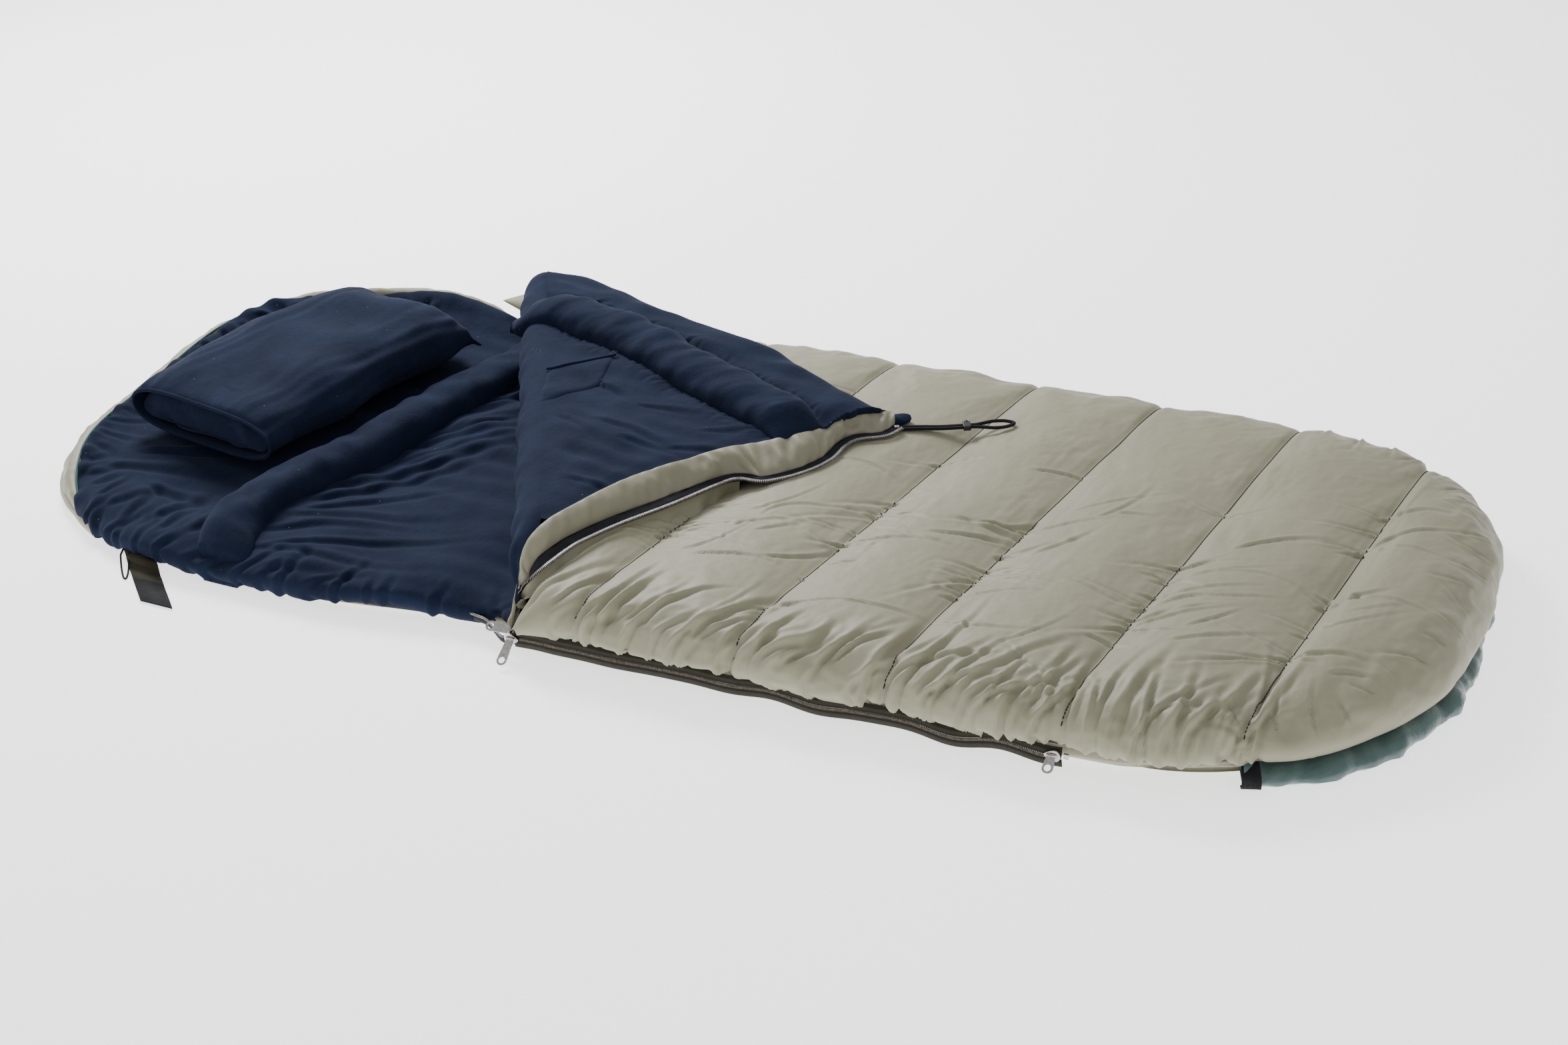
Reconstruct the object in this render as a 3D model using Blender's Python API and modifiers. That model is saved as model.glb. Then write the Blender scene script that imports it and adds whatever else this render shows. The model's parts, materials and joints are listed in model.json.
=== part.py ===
"""A padded bedchair sleeping bag lying on the floor, with its cover folded back at one corner.

Metres. +X runs from the head to the foot, -Y is the near side with the main zip, +Z is up.
The origin is on the floor, under the middle of the bag.
"""
import math

import bmesh
import bpy
import numpy as np
from mathutils import Matrix, Vector

# Driving dimensions of the plan
LENGTH = 2.24
WIDTH = 0.90
HEAD_DEPTH = 0.57       # length of the rounded head end
HEAD_POWER = 2.7        # squareness of the head end's curve
FOOT_DEPTH = 0.52
FOOT_POWER = 3.0
ARC_STEPS = 8           # outline points on each quarter curve
SIDE_STEPS = 3          # outline points along each straight side

# Thicknesses
SKIN = 0.0015           # every fabric layer
GAP = 0.0005            # air between neighbouring solids
POCKET_LIFT = 0.013     # how far the base rises off the floor over the bedchair pockets
POCKET_MOUTH_X = 0.92   # distance of both pocket mouths from the middle

# The fold line of the cover: a point on it, and its direction from the near to the far side
FOLD_START = Vector((-0.130, -0.353))
FOLD_ALONG = Vector((-0.481, 0.877)).normalized()
FOLD_ACROSS = Vector((FOLD_ALONG.y, -FOLD_ALONG.x))
FOLD_Z = 0.1225         # height of the axis that the flap turns on
FOLD_RADIUS = 0.045
FOLD_LENGTH = 0.86

# Layer sections, each a list of (share of the outline, height)
BASE_SHELL = [(0.992, 0.0200), (1.0, 0.0140), (0.99, 0.0050), (0.94, 0.0), (0.84, 0.0), (0.70, 0.0)]
BASE_FILL_UNDER = [(0.70, 0.0035), (0.84, 0.0035), (0.93, 0.0035), (0.982, 0.0090)]
BASE_FILL_OVER = [(0.99, 0.0150), (0.96, 0.0300), (0.90, 0.0400), (0.80, 0.0460), (0.60, 0.0490)]
BASE_LINING = [(0.99, 0.0225), (0.96, 0.0325), (0.90, 0.0425), (0.80, 0.0485), (0.60, 0.0515)]
COVER_LINING = [(0.985, 0.0390), (0.97, 0.0520), (0.92, 0.0660), (0.82, 0.0730), (0.60, 0.0750)]
COVER_FILL_UNDER = [(0.60, 0.0785), (0.82, 0.0770), (0.91, 0.0715), (0.95, 0.0650)]
COVER_FILL_OVER = [(0.97, 0.0660), (0.978, 0.0760), (0.955, 0.0970), (0.90, 0.1100), (0.80, 0.1165),
                   (0.60, 0.1180)]
COVER_SHELL = [(0.995, 0.0420), (1.0, 0.0550), (0.99, 0.0780), (0.965, 0.1000), (0.905, 0.1135),
               (0.80, 0.1195), (0.60, 0.1210)]
POCKET_SHEET = [(1.008, 0.0180), (1.012, 0.0090), (0.995, 0.0015), (0.96, 0.0), (0.50, 0.0)]

# The folded flap, in fold coordinates: distance along the fold line and distance across it
FLAP_TIP = Vector((0.294, 0.545))
FLAP_FAR = Vector((0.930, 0.0))
FLAP_MIDDLE = 0.42      # where along the fold line the flap's rings shrink to
GUARD_WIDTH = 0.050
FLAP_SHELL = [(1.0, 0.1260), (0.80, 0.1260)]
FLAP_FILL_UNDER = [(0.80, 0.1285), (0.94, 0.1285)]
FLAP_FILL_OVER = [(0.965, 0.1340), (0.92, 0.1500), (0.84, 0.1575), (0.70, 0.1600)]
FLAP_LINING = [(0.99, 0.1335), (0.93, 0.1525), (0.85, 0.1600), (0.70, 0.1625)]
FLAP_EDGE_Z = 0.1335    # height of the zip along the flap's edge
FLAP_BAFFLE_INSET = 0.15
FLAP_BAFFLE_WIDTH = 0.080
FLAP_BAFFLE_HEIGHT = 0.034

# The flat pocket on the flap's lining, in fold coordinates
INNER_POCKET_START = Vector((0.385, 0.006))
INNER_POCKET_DEPTH = 0.115
INNER_POCKET_WIDTH = 0.100
INNER_POCKET_RISE = 0.0070
INNER_POCKET_CLOTH = 0.0012

# The near zip, which stands on edge along the bag's side
ZIP_Z = 0.030
ZIP_Y = -0.4545
ZIP_START_X = -0.131
ZIP_END_X = 0.692
OPEN_ZIP_HEAD_X = -0.80
CHAIN_SIZE = 0.0026
CHAIN_GAP = 0.0016
TAPE_THICKNESS = 0.0008
TAPE_WIDTH = 0.012

# Sliders and their pulls
SLIDER_LENGTH = 0.016
SLIDER_HEIGHT = 0.012
SLIDER_PLATE = 0.0015
SLIDER_OPENING = 0.0036
SLIDER_POST = 0.0010
FAR_START_X = -0.535
BAR_SIZE = 0.0015       # the bar that a pull turns on
BAR_STANDOFF = 0.0024
KNUCKLE_RADIUS = 0.0019
KNUCKLE_BORE = 0.0013
KNUCKLE_LENGTH = 0.0050
PULL_LENGTH = 0.038
SHORT_PULL_LENGTH = 0.024
PULL_ROOT_WIDTH = 0.0055
PULL_END_WIDTH = 0.0105
PULL_THICKNESS = 0.0016
PULL_HOLE_RADIUS = 0.0030
PULL_DROOP = math.radians(35)
INNER_PIN_X = -0.004    # the pin of the inside pull, from the slider's middle
INNER_PIN_Z = ZIP_Z + SLIDER_HEIGHT / 2 - 0.0015

# The pillow
PILLOW_CENTRE = Vector((-0.815, 0.055))
PILLOW_TURN = math.radians(-12)
PILLOW_LENGTH = 0.480
PILLOW_WIDTH = 0.310
PILLOW_HEIGHT = 0.098
PILLOW_FLOOR = 0.0685
PILLOW_WALL = 0.0030

# The neck baffle that crosses the base, as plan points from the near to the far side
BASE_BAFFLE_PATH = [(-0.655, -0.405), (-0.675, -0.330), (-0.660, -0.240), (-0.632, -0.150), (-0.607, -0.050),
                    (-0.590, 0.070), (-0.570, 0.170), (-0.556, 0.260), (-0.545, 0.380)]
BASE_BAFFLE_WIDTH = 0.075
BASE_BAFFLE_HEIGHT = 0.042
SQUASHED_HEIGHT = 0.017  # where the fold lies over it

# Drawcord, cord lock, strap and loop
CORD_RADIUS = 0.0019
CORD_Z = 0.1252
CORD_START = Vector((0.214, 0.170))
CORD_ALONG = Vector((0.877, 0.481)).normalized()
CORD_LENGTH = 0.165
CORD_SPACING = 0.0060
LOCK_AT = 0.092
LOCK_SIZE = Vector((0.012, 0.019, 0.0085))
PLUNGER_RADIUS = 0.0038
PLUNGER_TRAVEL = 0.0030
SPRING_COILS = 4
SPRING_RADIUS = 0.0027
SPRING_WIRE = 0.00035
STRAP_ROOT = Vector((-0.790, -0.4400))
STRAP_HEM = Vector((0.048, -0.0095))   # the sewn edge, along the bag's hem
STRAP_REACH = Vector((0.088, -0.086))
STRAP_THICKNESS = 0.0015
STRAP_OLIVE_SHARE = 0.36
LOOP_RADIUS = 0.0011

OLIVE = (0.362, 0.345, 0.262)
DARK_OLIVE = (0.120, 0.110, 0.060)
NAVY = (0.022, 0.032, 0.062)
BLACK = (0.010, 0.011, 0.014)
TEAL = (0.045, 0.095, 0.090)
WADDING = (0.85, 0.85, 0.82)
SILVER = (0.62, 0.60, 0.57)


def clear_scene():
    for obj in list(bpy.data.objects):
        bpy.data.objects.remove(obj, do_unlink=True)


def new_collection(name):
    collection = bpy.data.collections.new(name)
    bpy.context.scene.collection.children.link(collection)
    return collection


def material(name, colour, roughness, metallic=0.0):
    mat = bpy.data.materials.new(name)
    mat.use_nodes = True
    shader = mat.node_tree.nodes["Principled BSDF"]
    shader.inputs["Base Color"].default_value = (*colour, 1.0)
    shader.inputs["Roughness"].default_value = roughness
    shader.inputs["Metallic"].default_value = metallic
    return mat


def add_object(name, data, look, parent=None):
    """Link an object into the bag's collection, with a material of its own."""
    obj = bpy.data.objects.new(name, data)
    data.materials.append(material(name, *look))
    BAG.objects.link(obj)
    if parent:
        obj.parent = parent
        obj.matrix_parent_inverse = parent.matrix_world.inverted()
    return obj


def add_axis(name, place):
    """An empty on a joint's axis, which the moving pieces are parented to."""
    empty = bpy.data.objects.new(name, None)
    empty.empty_display_size = 0.02
    empty.location = place
    BAG.objects.link(empty)
    bpy.context.view_layer.update()
    return empty


def mesh_from(bm, name):
    bmesh.ops.recalc_face_normals(bm, faces=bm.faces)
    bmesh.ops.triangulate(bm, faces=bm.faces, quad_method="SHORT_EDGE")
    mesh = bpy.data.meshes.new(name)
    bm.to_mesh(mesh)
    bm.free()
    mesh.shade_smooth()
    mesh.set_sharp_from_angle(angle=math.radians(40))
    return mesh


def thicken(obj, thickness, offset):
    """Give an open surface its fabric thickness, growing up from it (offset 1) or down (offset -1)."""
    if sum(face.normal.z * face.area for face in obj.data.polygons) < 0:
        obj.data.flip_normals()
    solid = obj.modifiers.new("fabric", "SOLIDIFY")
    solid.thickness = thickness
    solid.offset = offset
    solid.use_even_offset = True


# --- plan outline of the bag --------------------------------------------------------------------------

def end_curve(depth, power, sign, steps):
    """Points of one rounded end, from the far side to the near side, as a superellipse."""
    straight = LENGTH / 2 - depth
    points = []
    for step in range(-steps, steps + 1):
        angle = step / steps * math.pi / 2
        along = math.cos(angle) ** (2 / power) if step not in (-steps, steps) else 0.0
        aside = abs(math.sin(angle)) ** (2 / power) * math.copysign(1, step)
        points.append(Vector((sign * (straight + depth * along), -sign * aside * WIDTH / 2)))
    return points


def outline():
    """The whole plan outline, clockwise seen from above, starting at the foot's far corner."""
    foot = end_curve(FOOT_DEPTH, FOOT_POWER, 1, ARC_STEPS)
    head = end_curve(HEAD_DEPTH, HEAD_POWER, -1, ARC_STEPS)
    points = list(foot)
    points += [foot[-1].lerp(head[0], i / SIDE_STEPS) for i in range(1, SIDE_STEPS)]
    points += head
    points += [head[-1].lerp(foot[0], i / SIDE_STEPS) for i in range(1, SIDE_STEPS)]
    return points


def outline_share(x, y):
    """The scale at which the outline passes through a point: 0 in the middle, 1 on the edge."""
    low, high = 0.0, 1.5
    for _ in range(40):
        share = (low + high) / 2
        px, py = abs(x) / max(share, 1e-6), abs(y) / max(share, 1e-6)
        depth, power = (HEAD_DEPTH, HEAD_POWER) if x < 0 else (FOOT_DEPTH, FOOT_POWER)
        past = max(0.0, px - (LENGTH / 2 - depth)) / depth
        inside = past ** power + (py / (WIDTH / 2)) ** power <= 1.0
        low, high = (low, share) if inside else (share, high)
    return high


def section_height(section, x, y):
    """Height of a layer whose section is a list of (share, height), over a plan point."""
    shares = [share for share, _ in reversed(section)]
    heights = [height for _, height in reversed(section)]
    return float(np.interp(outline_share(x, y), shares, heights))


def pocket_lift(x):
    """How far the base is raised over the bedchair pockets at both ends."""
    t = min(1.0, max(0.0, (abs(x) - 0.80) / (POCKET_MOUTH_X - 0.01 - 0.80)))
    return POCKET_LIFT * t * t * (3 - 2 * t)


# --- lofted layers ------------------------------------------------------------------------------------

def loft(rings, cap_start, cap_end, closed=True):
    """Join rings of points with faces. Open rings are strips; caps close the first and the last ring."""
    bm = bmesh.new()
    loops = [[bm.verts.new(point) for point in ring] for ring in rings]
    for lower, upper in zip(loops, loops[1:]):
        count = len(lower)
        for i in range(count if closed else count - 1):
            j = (i + 1) % count
            bm.faces.new((lower[i], lower[j], upper[j], upper[i]))
    if cap_start:
        bm.faces.new(reversed(loops[0]))
    if cap_end:
        bm.faces.new(loops[-1])
    return bm


def bag_rings(section, lifted=True):
    """One ring per (share, height) of a section, raised over the bedchair pockets if it is lifted."""
    plan = outline()
    rings = []
    for share, height in section:
        rings.append([(p.x * share, p.y * share, height + lifted * pocket_lift(p.x * share)) for p in plan])
    return rings


def cut_at_plane(bm, point, normal, fill):
    """Keep the side of the plane that its normal points to, and close the cut of a solid."""
    geometry = bm.verts[:] + bm.edges[:] + bm.faces[:]
    bmesh.ops.bisect_plane(bm, geom=geometry, plane_co=point, plane_no=normal, clear_inner=True)
    if fill:
        rim = [edge for edge in bm.edges if edge.is_boundary]
        bmesh.ops.contextual_create(bm, geom=rim)


def fold_point(along, across, height):
    """World place of a point given in fold coordinates."""
    plan = FOLD_START + FOLD_ALONG * along + FOLD_ACROSS * across
    return Vector((plan.x, plan.y, height))


def skin_layer(name, section, look, offset, cut=False):
    """A fabric layer: one open dome with thickness, cut along the fold line if it belongs to the cover."""
    bm = loft(bag_rings(section), cap_start=False, cap_end=True)
    if cut:
        cut_at_plane(bm, fold_point(0, 0, 0), (*FOLD_ACROSS, 0), fill=False)
    obj = add_object(name, mesh_from(bm, name), look)
    thicken(obj, SKIN, offset)
    return obj


def filling_layer(name, under, over, look, cut=False):
    """A layer of wadding: a closed lens."""
    rings = bag_rings(under) + bag_rings(over)
    bm = loft(rings, cap_start=True, cap_end=True)
    if cut:
        cut_at_plane(bm, fold_point(0, 0, 0), (*FOLD_ACROSS, 0), fill=True)
    return add_object(name, mesh_from(bm, name), look)


# --- tubes, strips and blocks -------------------------------------------------------------------------

def tube(name, points, radius, look, cyclic=False, parent=None, resolution=1):
    """A cord, piping or wire along a polyline."""
    curve = bpy.data.curves.new(name, "CURVE")
    curve.dimensions = "3D"
    curve.bevel_depth = radius
    curve.bevel_resolution = resolution
    curve.use_fill_caps = not cyclic
    spline = curve.splines.new("POLY")
    spline.points.add(len(points) - 1)
    for target, point in zip(spline.points, points):
        target.co = (*point, 1.0)
    spline.use_cyclic_u = cyclic
    return add_object(name, curve, look, parent)


def strip(name, inner, outer, thickness, look, parent=None):
    """A flat band between two edges that have the same number of points."""
    rings = []
    for a, b in zip(inner, outer):
        rings.append([a, b, b + Vector((0, 0, thickness)), a + Vector((0, 0, thickness))])
    bm = loft(rings, cap_start=True, cap_end=True)
    return add_object(name, mesh_from(bm, name), look, parent)


def upright_band(name, path, low, high, thickness, look, parent=None):
    """A band standing on edge along a plan path, with its thickness towards the outside of the bag."""
    rings = []
    for i, point in enumerate(path):
        ahead = (path[min(i + 1, len(path) - 1)] - path[max(i - 1, 0)]).normalized()
        side = Vector((ahead.y, -ahead.x)) * thickness / 2
        a, b = point + side, point - side
        rings.append([(a.x, a.y, low), (b.x, b.y, low), (b.x, b.y, high), (a.x, a.y, high)])
    bm = loft(rings, cap_start=True, cap_end=True)
    return add_object(name, mesh_from(bm, name), look, parent)


def dome_bar(name, path, widths, heights, floors, look, parent=None):
    """A stuffed roll: half-round sections along a plan path, flat underneath."""
    arc_steps = 6
    rings = []
    for i, point in enumerate(path):
        ahead = (path[min(i + 1, len(path) - 1)] - path[max(i - 1, 0)]).normalized()
        side = Vector((ahead.y, -ahead.x))
        ring = []
        for step in range(arc_steps + 1):
            angle = math.pi * step / arc_steps
            plan = point + side * math.cos(angle) * widths[i] / 2
            ring.append((plan.x, plan.y, floors[i] + heights[i] * math.sin(angle)))
        rings.append(ring)
    bm = loft(rings, cap_start=True, cap_end=True)
    return add_object(name, mesh_from(bm, name), look, parent)


def block(name, size, centre, look, bevel=0.0, turn=0.0, parent=None):
    """A box with rounded edges, turned about Z."""
    bm = bmesh.new()
    bmesh.ops.create_cube(bm, size=1.0)
    bmesh.ops.scale(bm, vec=size, verts=bm.verts)
    bmesh.ops.rotate(bm, cent=(0, 0, 0), matrix=Matrix.Rotation(turn, 3, "Z"), verts=bm.verts)
    bmesh.ops.translate(bm, vec=centre, verts=bm.verts)
    obj = add_object(name, mesh_from(bm, name), look, parent)
    if bevel:
        rounded = obj.modifiers.new("rounded", "BEVEL")
        rounded.width = bevel
        rounded.segments = 2
    return obj


# --- the base -----------------------------------------------------------------------------------------

def build_base():
    skin_layer("base_shell", BASE_SHELL, (OLIVE, 0.7), offset=1)
    filling_layer("base_fill", BASE_FILL_UNDER, BASE_FILL_OVER, (WADDING, 0.9))
    skin_layer("base_lining", BASE_LINING, (NAVY, 0.95), offset=1)
    bindings = (
        ("head_seam_binding", end_curve(HEAD_DEPTH, HEAD_POWER, -1, ARC_STEPS), 0.998, 0.0250, 0.0022, TEAL),
        ("foot_seam_binding", end_curve(FOOT_DEPTH, FOOT_POWER, 1, ARC_STEPS), 0.993, 0.0290, 0.0030, DARK_OLIVE))
    for name, curve, share, height, radius, colour in bindings:
        path = [(p.x * share, p.y * share, height + pocket_lift(p.x * share)) for p in curve[1:-1]]
        tube(name, path, radius, (colour, 0.7))


def build_base_baffle():
    """The stuffed collar that lies across the base under the pillow, low where the fold covers it."""
    path = [Vector(p) for p in BASE_BAFFLE_PATH]
    # the lining falls away towards the sides, so each end rests on the lining just inside it
    floors = [section_height(BASE_LINING, p.x, p.y * 0.96) + SKIN + 4 * GAP for p in path]
    shares = [0.55, 1.0, 1.0, 1.0, 1.0, 1.0, 0.85]
    heights = [BASE_BAFFLE_HEIGHT * share for share in shares] + [SQUASHED_HEIGHT, SQUASHED_HEIGHT * 0.8]
    widths = [BASE_BAFFLE_WIDTH * w for w in (0.7, 1, 1, 1, 1, 1, 1, 0.95, 0.8)]
    skin = dome_bar("base_neck_baffle", path, widths, heights, floors, (NAVY, 0.95))
    hollow_out(skin, "base_neck_baffle_fill", path, widths, heights, floors, (WADDING, 0.9))


def hollow_out(skin, fill_name, path, widths, heights, floors, look, parent=None):
    """Turn a stuffed roll into a skin with a stuffing of its own, open at its far end's seam allowance."""
    inner_path = [point.copy() for point in path]
    ends = (0, -1)
    for end, nearest in zip(ends, (1, -2)):
        inner_path[end] = path[end].lerp(path[nearest], 0.08)
    inner_widths = [w - 6 * SKIN for w in widths]
    inner_heights = [h - 3 * SKIN for h in heights]
    inner_floors = [f + SKIN + GAP for f in floors]
    dome_bar(fill_name, inner_path, inner_widths, inner_heights, inner_floors, look, parent)
    cutter_path = [point.copy() for point in inner_path]
    cutter_path[-1] = path[-1] + (path[-1] - path[-2]).normalized() * 0.002
    cutter = dome_bar(
        fill_name + "_space", cutter_path, [w + 2 * GAP * 2 for w in inner_widths],
        [h + 2 * GAP for h in inner_heights], [f - GAP for f in inner_floors], look, parent)
    make_cutter(cutter)
    cut_with(skin, cutter)


def build_pockets():
    """The two sheets under the ends that slip over a bedchair, each with an elastic at its mouth."""
    for end, sign, colour in (("head", -1, OLIVE), ("foot", 1, TEAL)):
        bm = loft(bag_rings(POCKET_SHEET, lifted=False), cap_start=False, cap_end=True)
        cut_at_plane(bm, (sign * POCKET_MOUTH_X, 0, 0), (sign, 0, 0), fill=False)
        sheet = add_object(f"{end}_pocket", mesh_from(bm, f"{end}_pocket"), (colour, 0.45))
        thicken(sheet, SKIN, 1)
        half = 0.37
        inner = [Vector((sign * (POCKET_MOUTH_X - 0.012), y, 0.0)) for y in (-half, half)]
        outer = [Vector((sign * (POCKET_MOUTH_X - GAP), y, 0.0)) for y in (-half, half)]
        strip(f"{end}_pocket_elastic", inner, outer, 0.0018, (BLACK, 0.8))


# --- the cover ----------------------------------------------------------------------------------------

def build_cover():
    skin_layer("cover_lining", COVER_LINING, (NAVY, 0.95), offset=1, cut=True)
    filling_layer("cover_fill", COVER_FILL_UNDER, COVER_FILL_OVER, (WADDING, 0.9), cut=True)
    skin_layer("cover_shell", COVER_SHELL, (OLIVE, 0.6), offset=-1, cut=True)


def build_fold():
    """The bend of the cover's layers where it turns back: half a cylinder along the fold line."""
    bm = bmesh.new()
    bmesh.ops.create_cone(bm, cap_ends=True, segments=24, radius1=FOLD_RADIUS, radius2=FOLD_RADIUS,
                          depth=FOLD_LENGTH)
    turn = Vector((*FOLD_ALONG, 0)).to_track_quat("Z", "Y").to_matrix()
    bmesh.ops.rotate(bm, cent=(0, 0, 0), matrix=turn, verts=bm.verts)
    bmesh.ops.translate(bm, vec=fold_point(FOLD_LENGTH / 2 + 0.015, 0, FOLD_Z), verts=bm.verts)
    cut_at_plane(bm, fold_point(0, -2 * GAP, 0), (*-FOLD_ACROSS, 0), fill=True)
    add_object("cover_fold", mesh_from(bm, "cover_fold"), (NAVY, 0.95))


# --- the folded flap ----------------------------------------------------------------------------------

def zip_edge_point(share, inset=0.0):
    """Fold coordinates of a point on the flap's zip edge, bowed outwards, and moved in by inset."""
    bow = 0.022 * math.sin(math.pi * share)
    edge = FLAP_TIP * share
    inward = Vector((FLAP_TIP.y, -FLAP_TIP.x)).normalized()
    return edge + inward * (inset - bow)


def flap_outline(inset):
    """The flap mirrored about the fold line, so that its rings stay whole at the fold."""
    steps = 6
    zip_side = [zip_edge_point(0.09 + 0.87 * i / steps, inset) for i in range(steps + 1)]
    neck = FLAP_FAR - FLAP_TIP
    neck_side = [FLAP_TIP + neck * share for share in (0.09, 0.3, 0.5, 0.7, 0.9)]
    near_end = Vector((zip_side[0].x - 0.012, 0.0))
    half = [near_end] + zip_side + neck_side + [FLAP_FAR]
    mirrored = [Vector((p.x, -p.y)) for p in reversed(half[1:-1])]
    return half + mirrored


def flap_rings(section, plan):
    rings = []
    for share, height in section:
        shrunk = [((p.x - FLAP_MIDDLE) * share + FLAP_MIDDLE, p.y * share) for p in plan]
        rings.append([fold_point(along, across, height) for along, across in shrunk])
    return rings


def build_flap(axis):
    """The turned-back part of the cover: shell below, wadding, lining on top."""
    plan = flap_outline(GUARD_WIDTH)
    line = fold_point(0, GAP * 4, 0)
    for name, section, look, offset in (
            ("flap_shell", FLAP_SHELL, (OLIVE, 0.6), 1), ("flap_lining", FLAP_LINING, (NAVY, 0.95), 1)):
        bm = loft(flap_rings(section, plan), cap_start=False, cap_end=True)
        cut_at_plane(bm, line, (*FOLD_ACROSS, 0), fill=False)
        obj = add_object(name, mesh_from(bm, name), look, axis)
        thicken(obj, SKIN, offset)
    bm = loft(flap_rings(FLAP_FILL_UNDER + FLAP_FILL_OVER, plan), cap_start=True, cap_end=True)
    cut_at_plane(bm, line, (*FOLD_ACROSS, 0), fill=True)
    add_object("flap_fill", mesh_from(bm, "flap_fill"), (WADDING, 0.9), axis)


def build_flap_edge(axis):
    """Zip guard, tape, chain half and stop along the flap's edge."""
    shares = [0.04 + 0.92 * i / 10 for i in range(11)]

    def edge(inset, height):
        return [fold_point(*zip_edge_point(share, inset), height) for share in shares]

    strip("zip_guard", edge(GUARD_WIDTH - 0.003, 0.1365), edge(0.0145, 0.1340), SKIN * 2, (OLIVE, 0.6), axis)
    strip("flap_zip_tape", edge(0.0135, FLAP_EDGE_Z), edge(0.0022, FLAP_EDGE_Z), TAPE_THICKNESS,
          (BLACK, 0.8), axis)
    chain_low = FLAP_EDGE_Z - CHAIN_SIZE / 3
    strip("flap_zip_chain", edge(0.0017, chain_low), edge(0.0017 - CHAIN_SIZE, chain_low), CHAIN_SIZE,
          (SILVER, 0.3, 1.0), axis)
    across = math.atan2(FOLD_ACROSS.y, FOLD_ACROSS.x)
    stop = fold_point(*zip_edge_point(0.985, 0.0), FLAP_EDGE_Z + 0.0005)
    block("zip_top_stop", (0.007, 0.006, 0.0035), stop, (SILVER, 0.3, 1.0), 0.0006, across, axis)
    tab = fold_point(FLAP_TIP.x + 0.022, FLAP_TIP.y - 0.002, 0.1300)
    block("zip_end_tab", (0.022, 0.026, 0.0050), tab, (NAVY, 0.9), 0.0015, across, axis)


def build_flap_baffle(axis):
    """The stuffed collar on the flap, parallel to its neck edge."""
    neck = (FLAP_FAR - FLAP_TIP).normalized()
    inward = Vector((-neck.y, neck.x)) * -FLAP_BAFFLE_INSET
    if inward.x > 0:
        inward.negate()
    start = FLAP_TIP + inward + neck * 0.075
    end_at_fold = start + neck * ((start.y - FLAP_BAFFLE_WIDTH * 0.55) / -neck.y)
    shares = [0.0, 0.08, 0.3, 0.55, 0.8, 0.94, 1.0]
    swell = [0.5, 0.9, 1.0, 1.0, 1.0, 0.9, 0.5]
    path = []
    for share in shares:
        place = start.lerp(end_at_fold, share)
        path.append(fold_point(place.x, place.y, 0).to_2d())
    widths = [FLAP_BAFFLE_WIDTH * s for s in swell]
    heights = [FLAP_BAFFLE_HEIGHT * s for s in swell]
    floors = [FLAP_LINING[-1][1] + SKIN + 2 * GAP] * len(path)
    skin = dome_bar("flap_neck_baffle", path, widths, heights, floors, (NAVY, 0.95), axis)
    hollow_out(skin, "flap_neck_baffle_fill", path, widths, heights, floors, (WADDING, 0.9), axis)


def build_inner_pocket(axis):
    """A flat pouch on the flap's lining, open towards the neck."""
    low = FLAP_LINING[-1][1] + SKIN + GAP
    start = INNER_POCKET_START
    slope = 0.12    # share of the width, and of the depth, over which the pouch rises
    rings = []
    for share, lift in ((0.0, 0.0), (slope, 1.0), (1 - slope, 1.0), (1.0, 0.0)):
        across = start.y + INNER_POCKET_WIDTH * share
        top = low + INNER_POCKET_RISE * lift
        rings.append([fold_point(start.x, across, low),
                      fold_point(start.x + INNER_POCKET_DEPTH * slope, across, top),
                      fold_point(start.x + INNER_POCKET_DEPTH, across, top)])
    bm = loft(rings, cap_start=False, cap_end=False, closed=False)
    pouch = add_object("inner_pocket", mesh_from(bm, "inner_pocket"), (NAVY, 0.95), axis)
    thicken(pouch, INNER_POCKET_CLOTH, 1)


def build_drawcord(axis):
    """The doubled neck cord beyond the tab, and its lock with a sprung plunger."""
    side = Vector((-CORD_ALONG.y, CORD_ALONG.x)) * CORD_SPACING / 2
    near = [CORD_START + CORD_ALONG * CORD_LENGTH * t + side for t in (0.0, 0.35, 0.7, 0.93)]
    back = [CORD_START + CORD_ALONG * CORD_LENGTH * t - side for t in (0.93, 0.7, 0.35, 0.0)]
    shoulder = CORD_START + CORD_ALONG * (CORD_LENGTH * 0.965)
    turn = [shoulder + side * 0.75, CORD_START + CORD_ALONG * CORD_LENGTH, shoulder - side * 0.75]
    points = [(p.x, p.y, CORD_Z) for p in near + turn + back]
    tube("neck_drawcord", points, CORD_RADIUS, (BLACK, 0.7), parent=axis)


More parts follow.
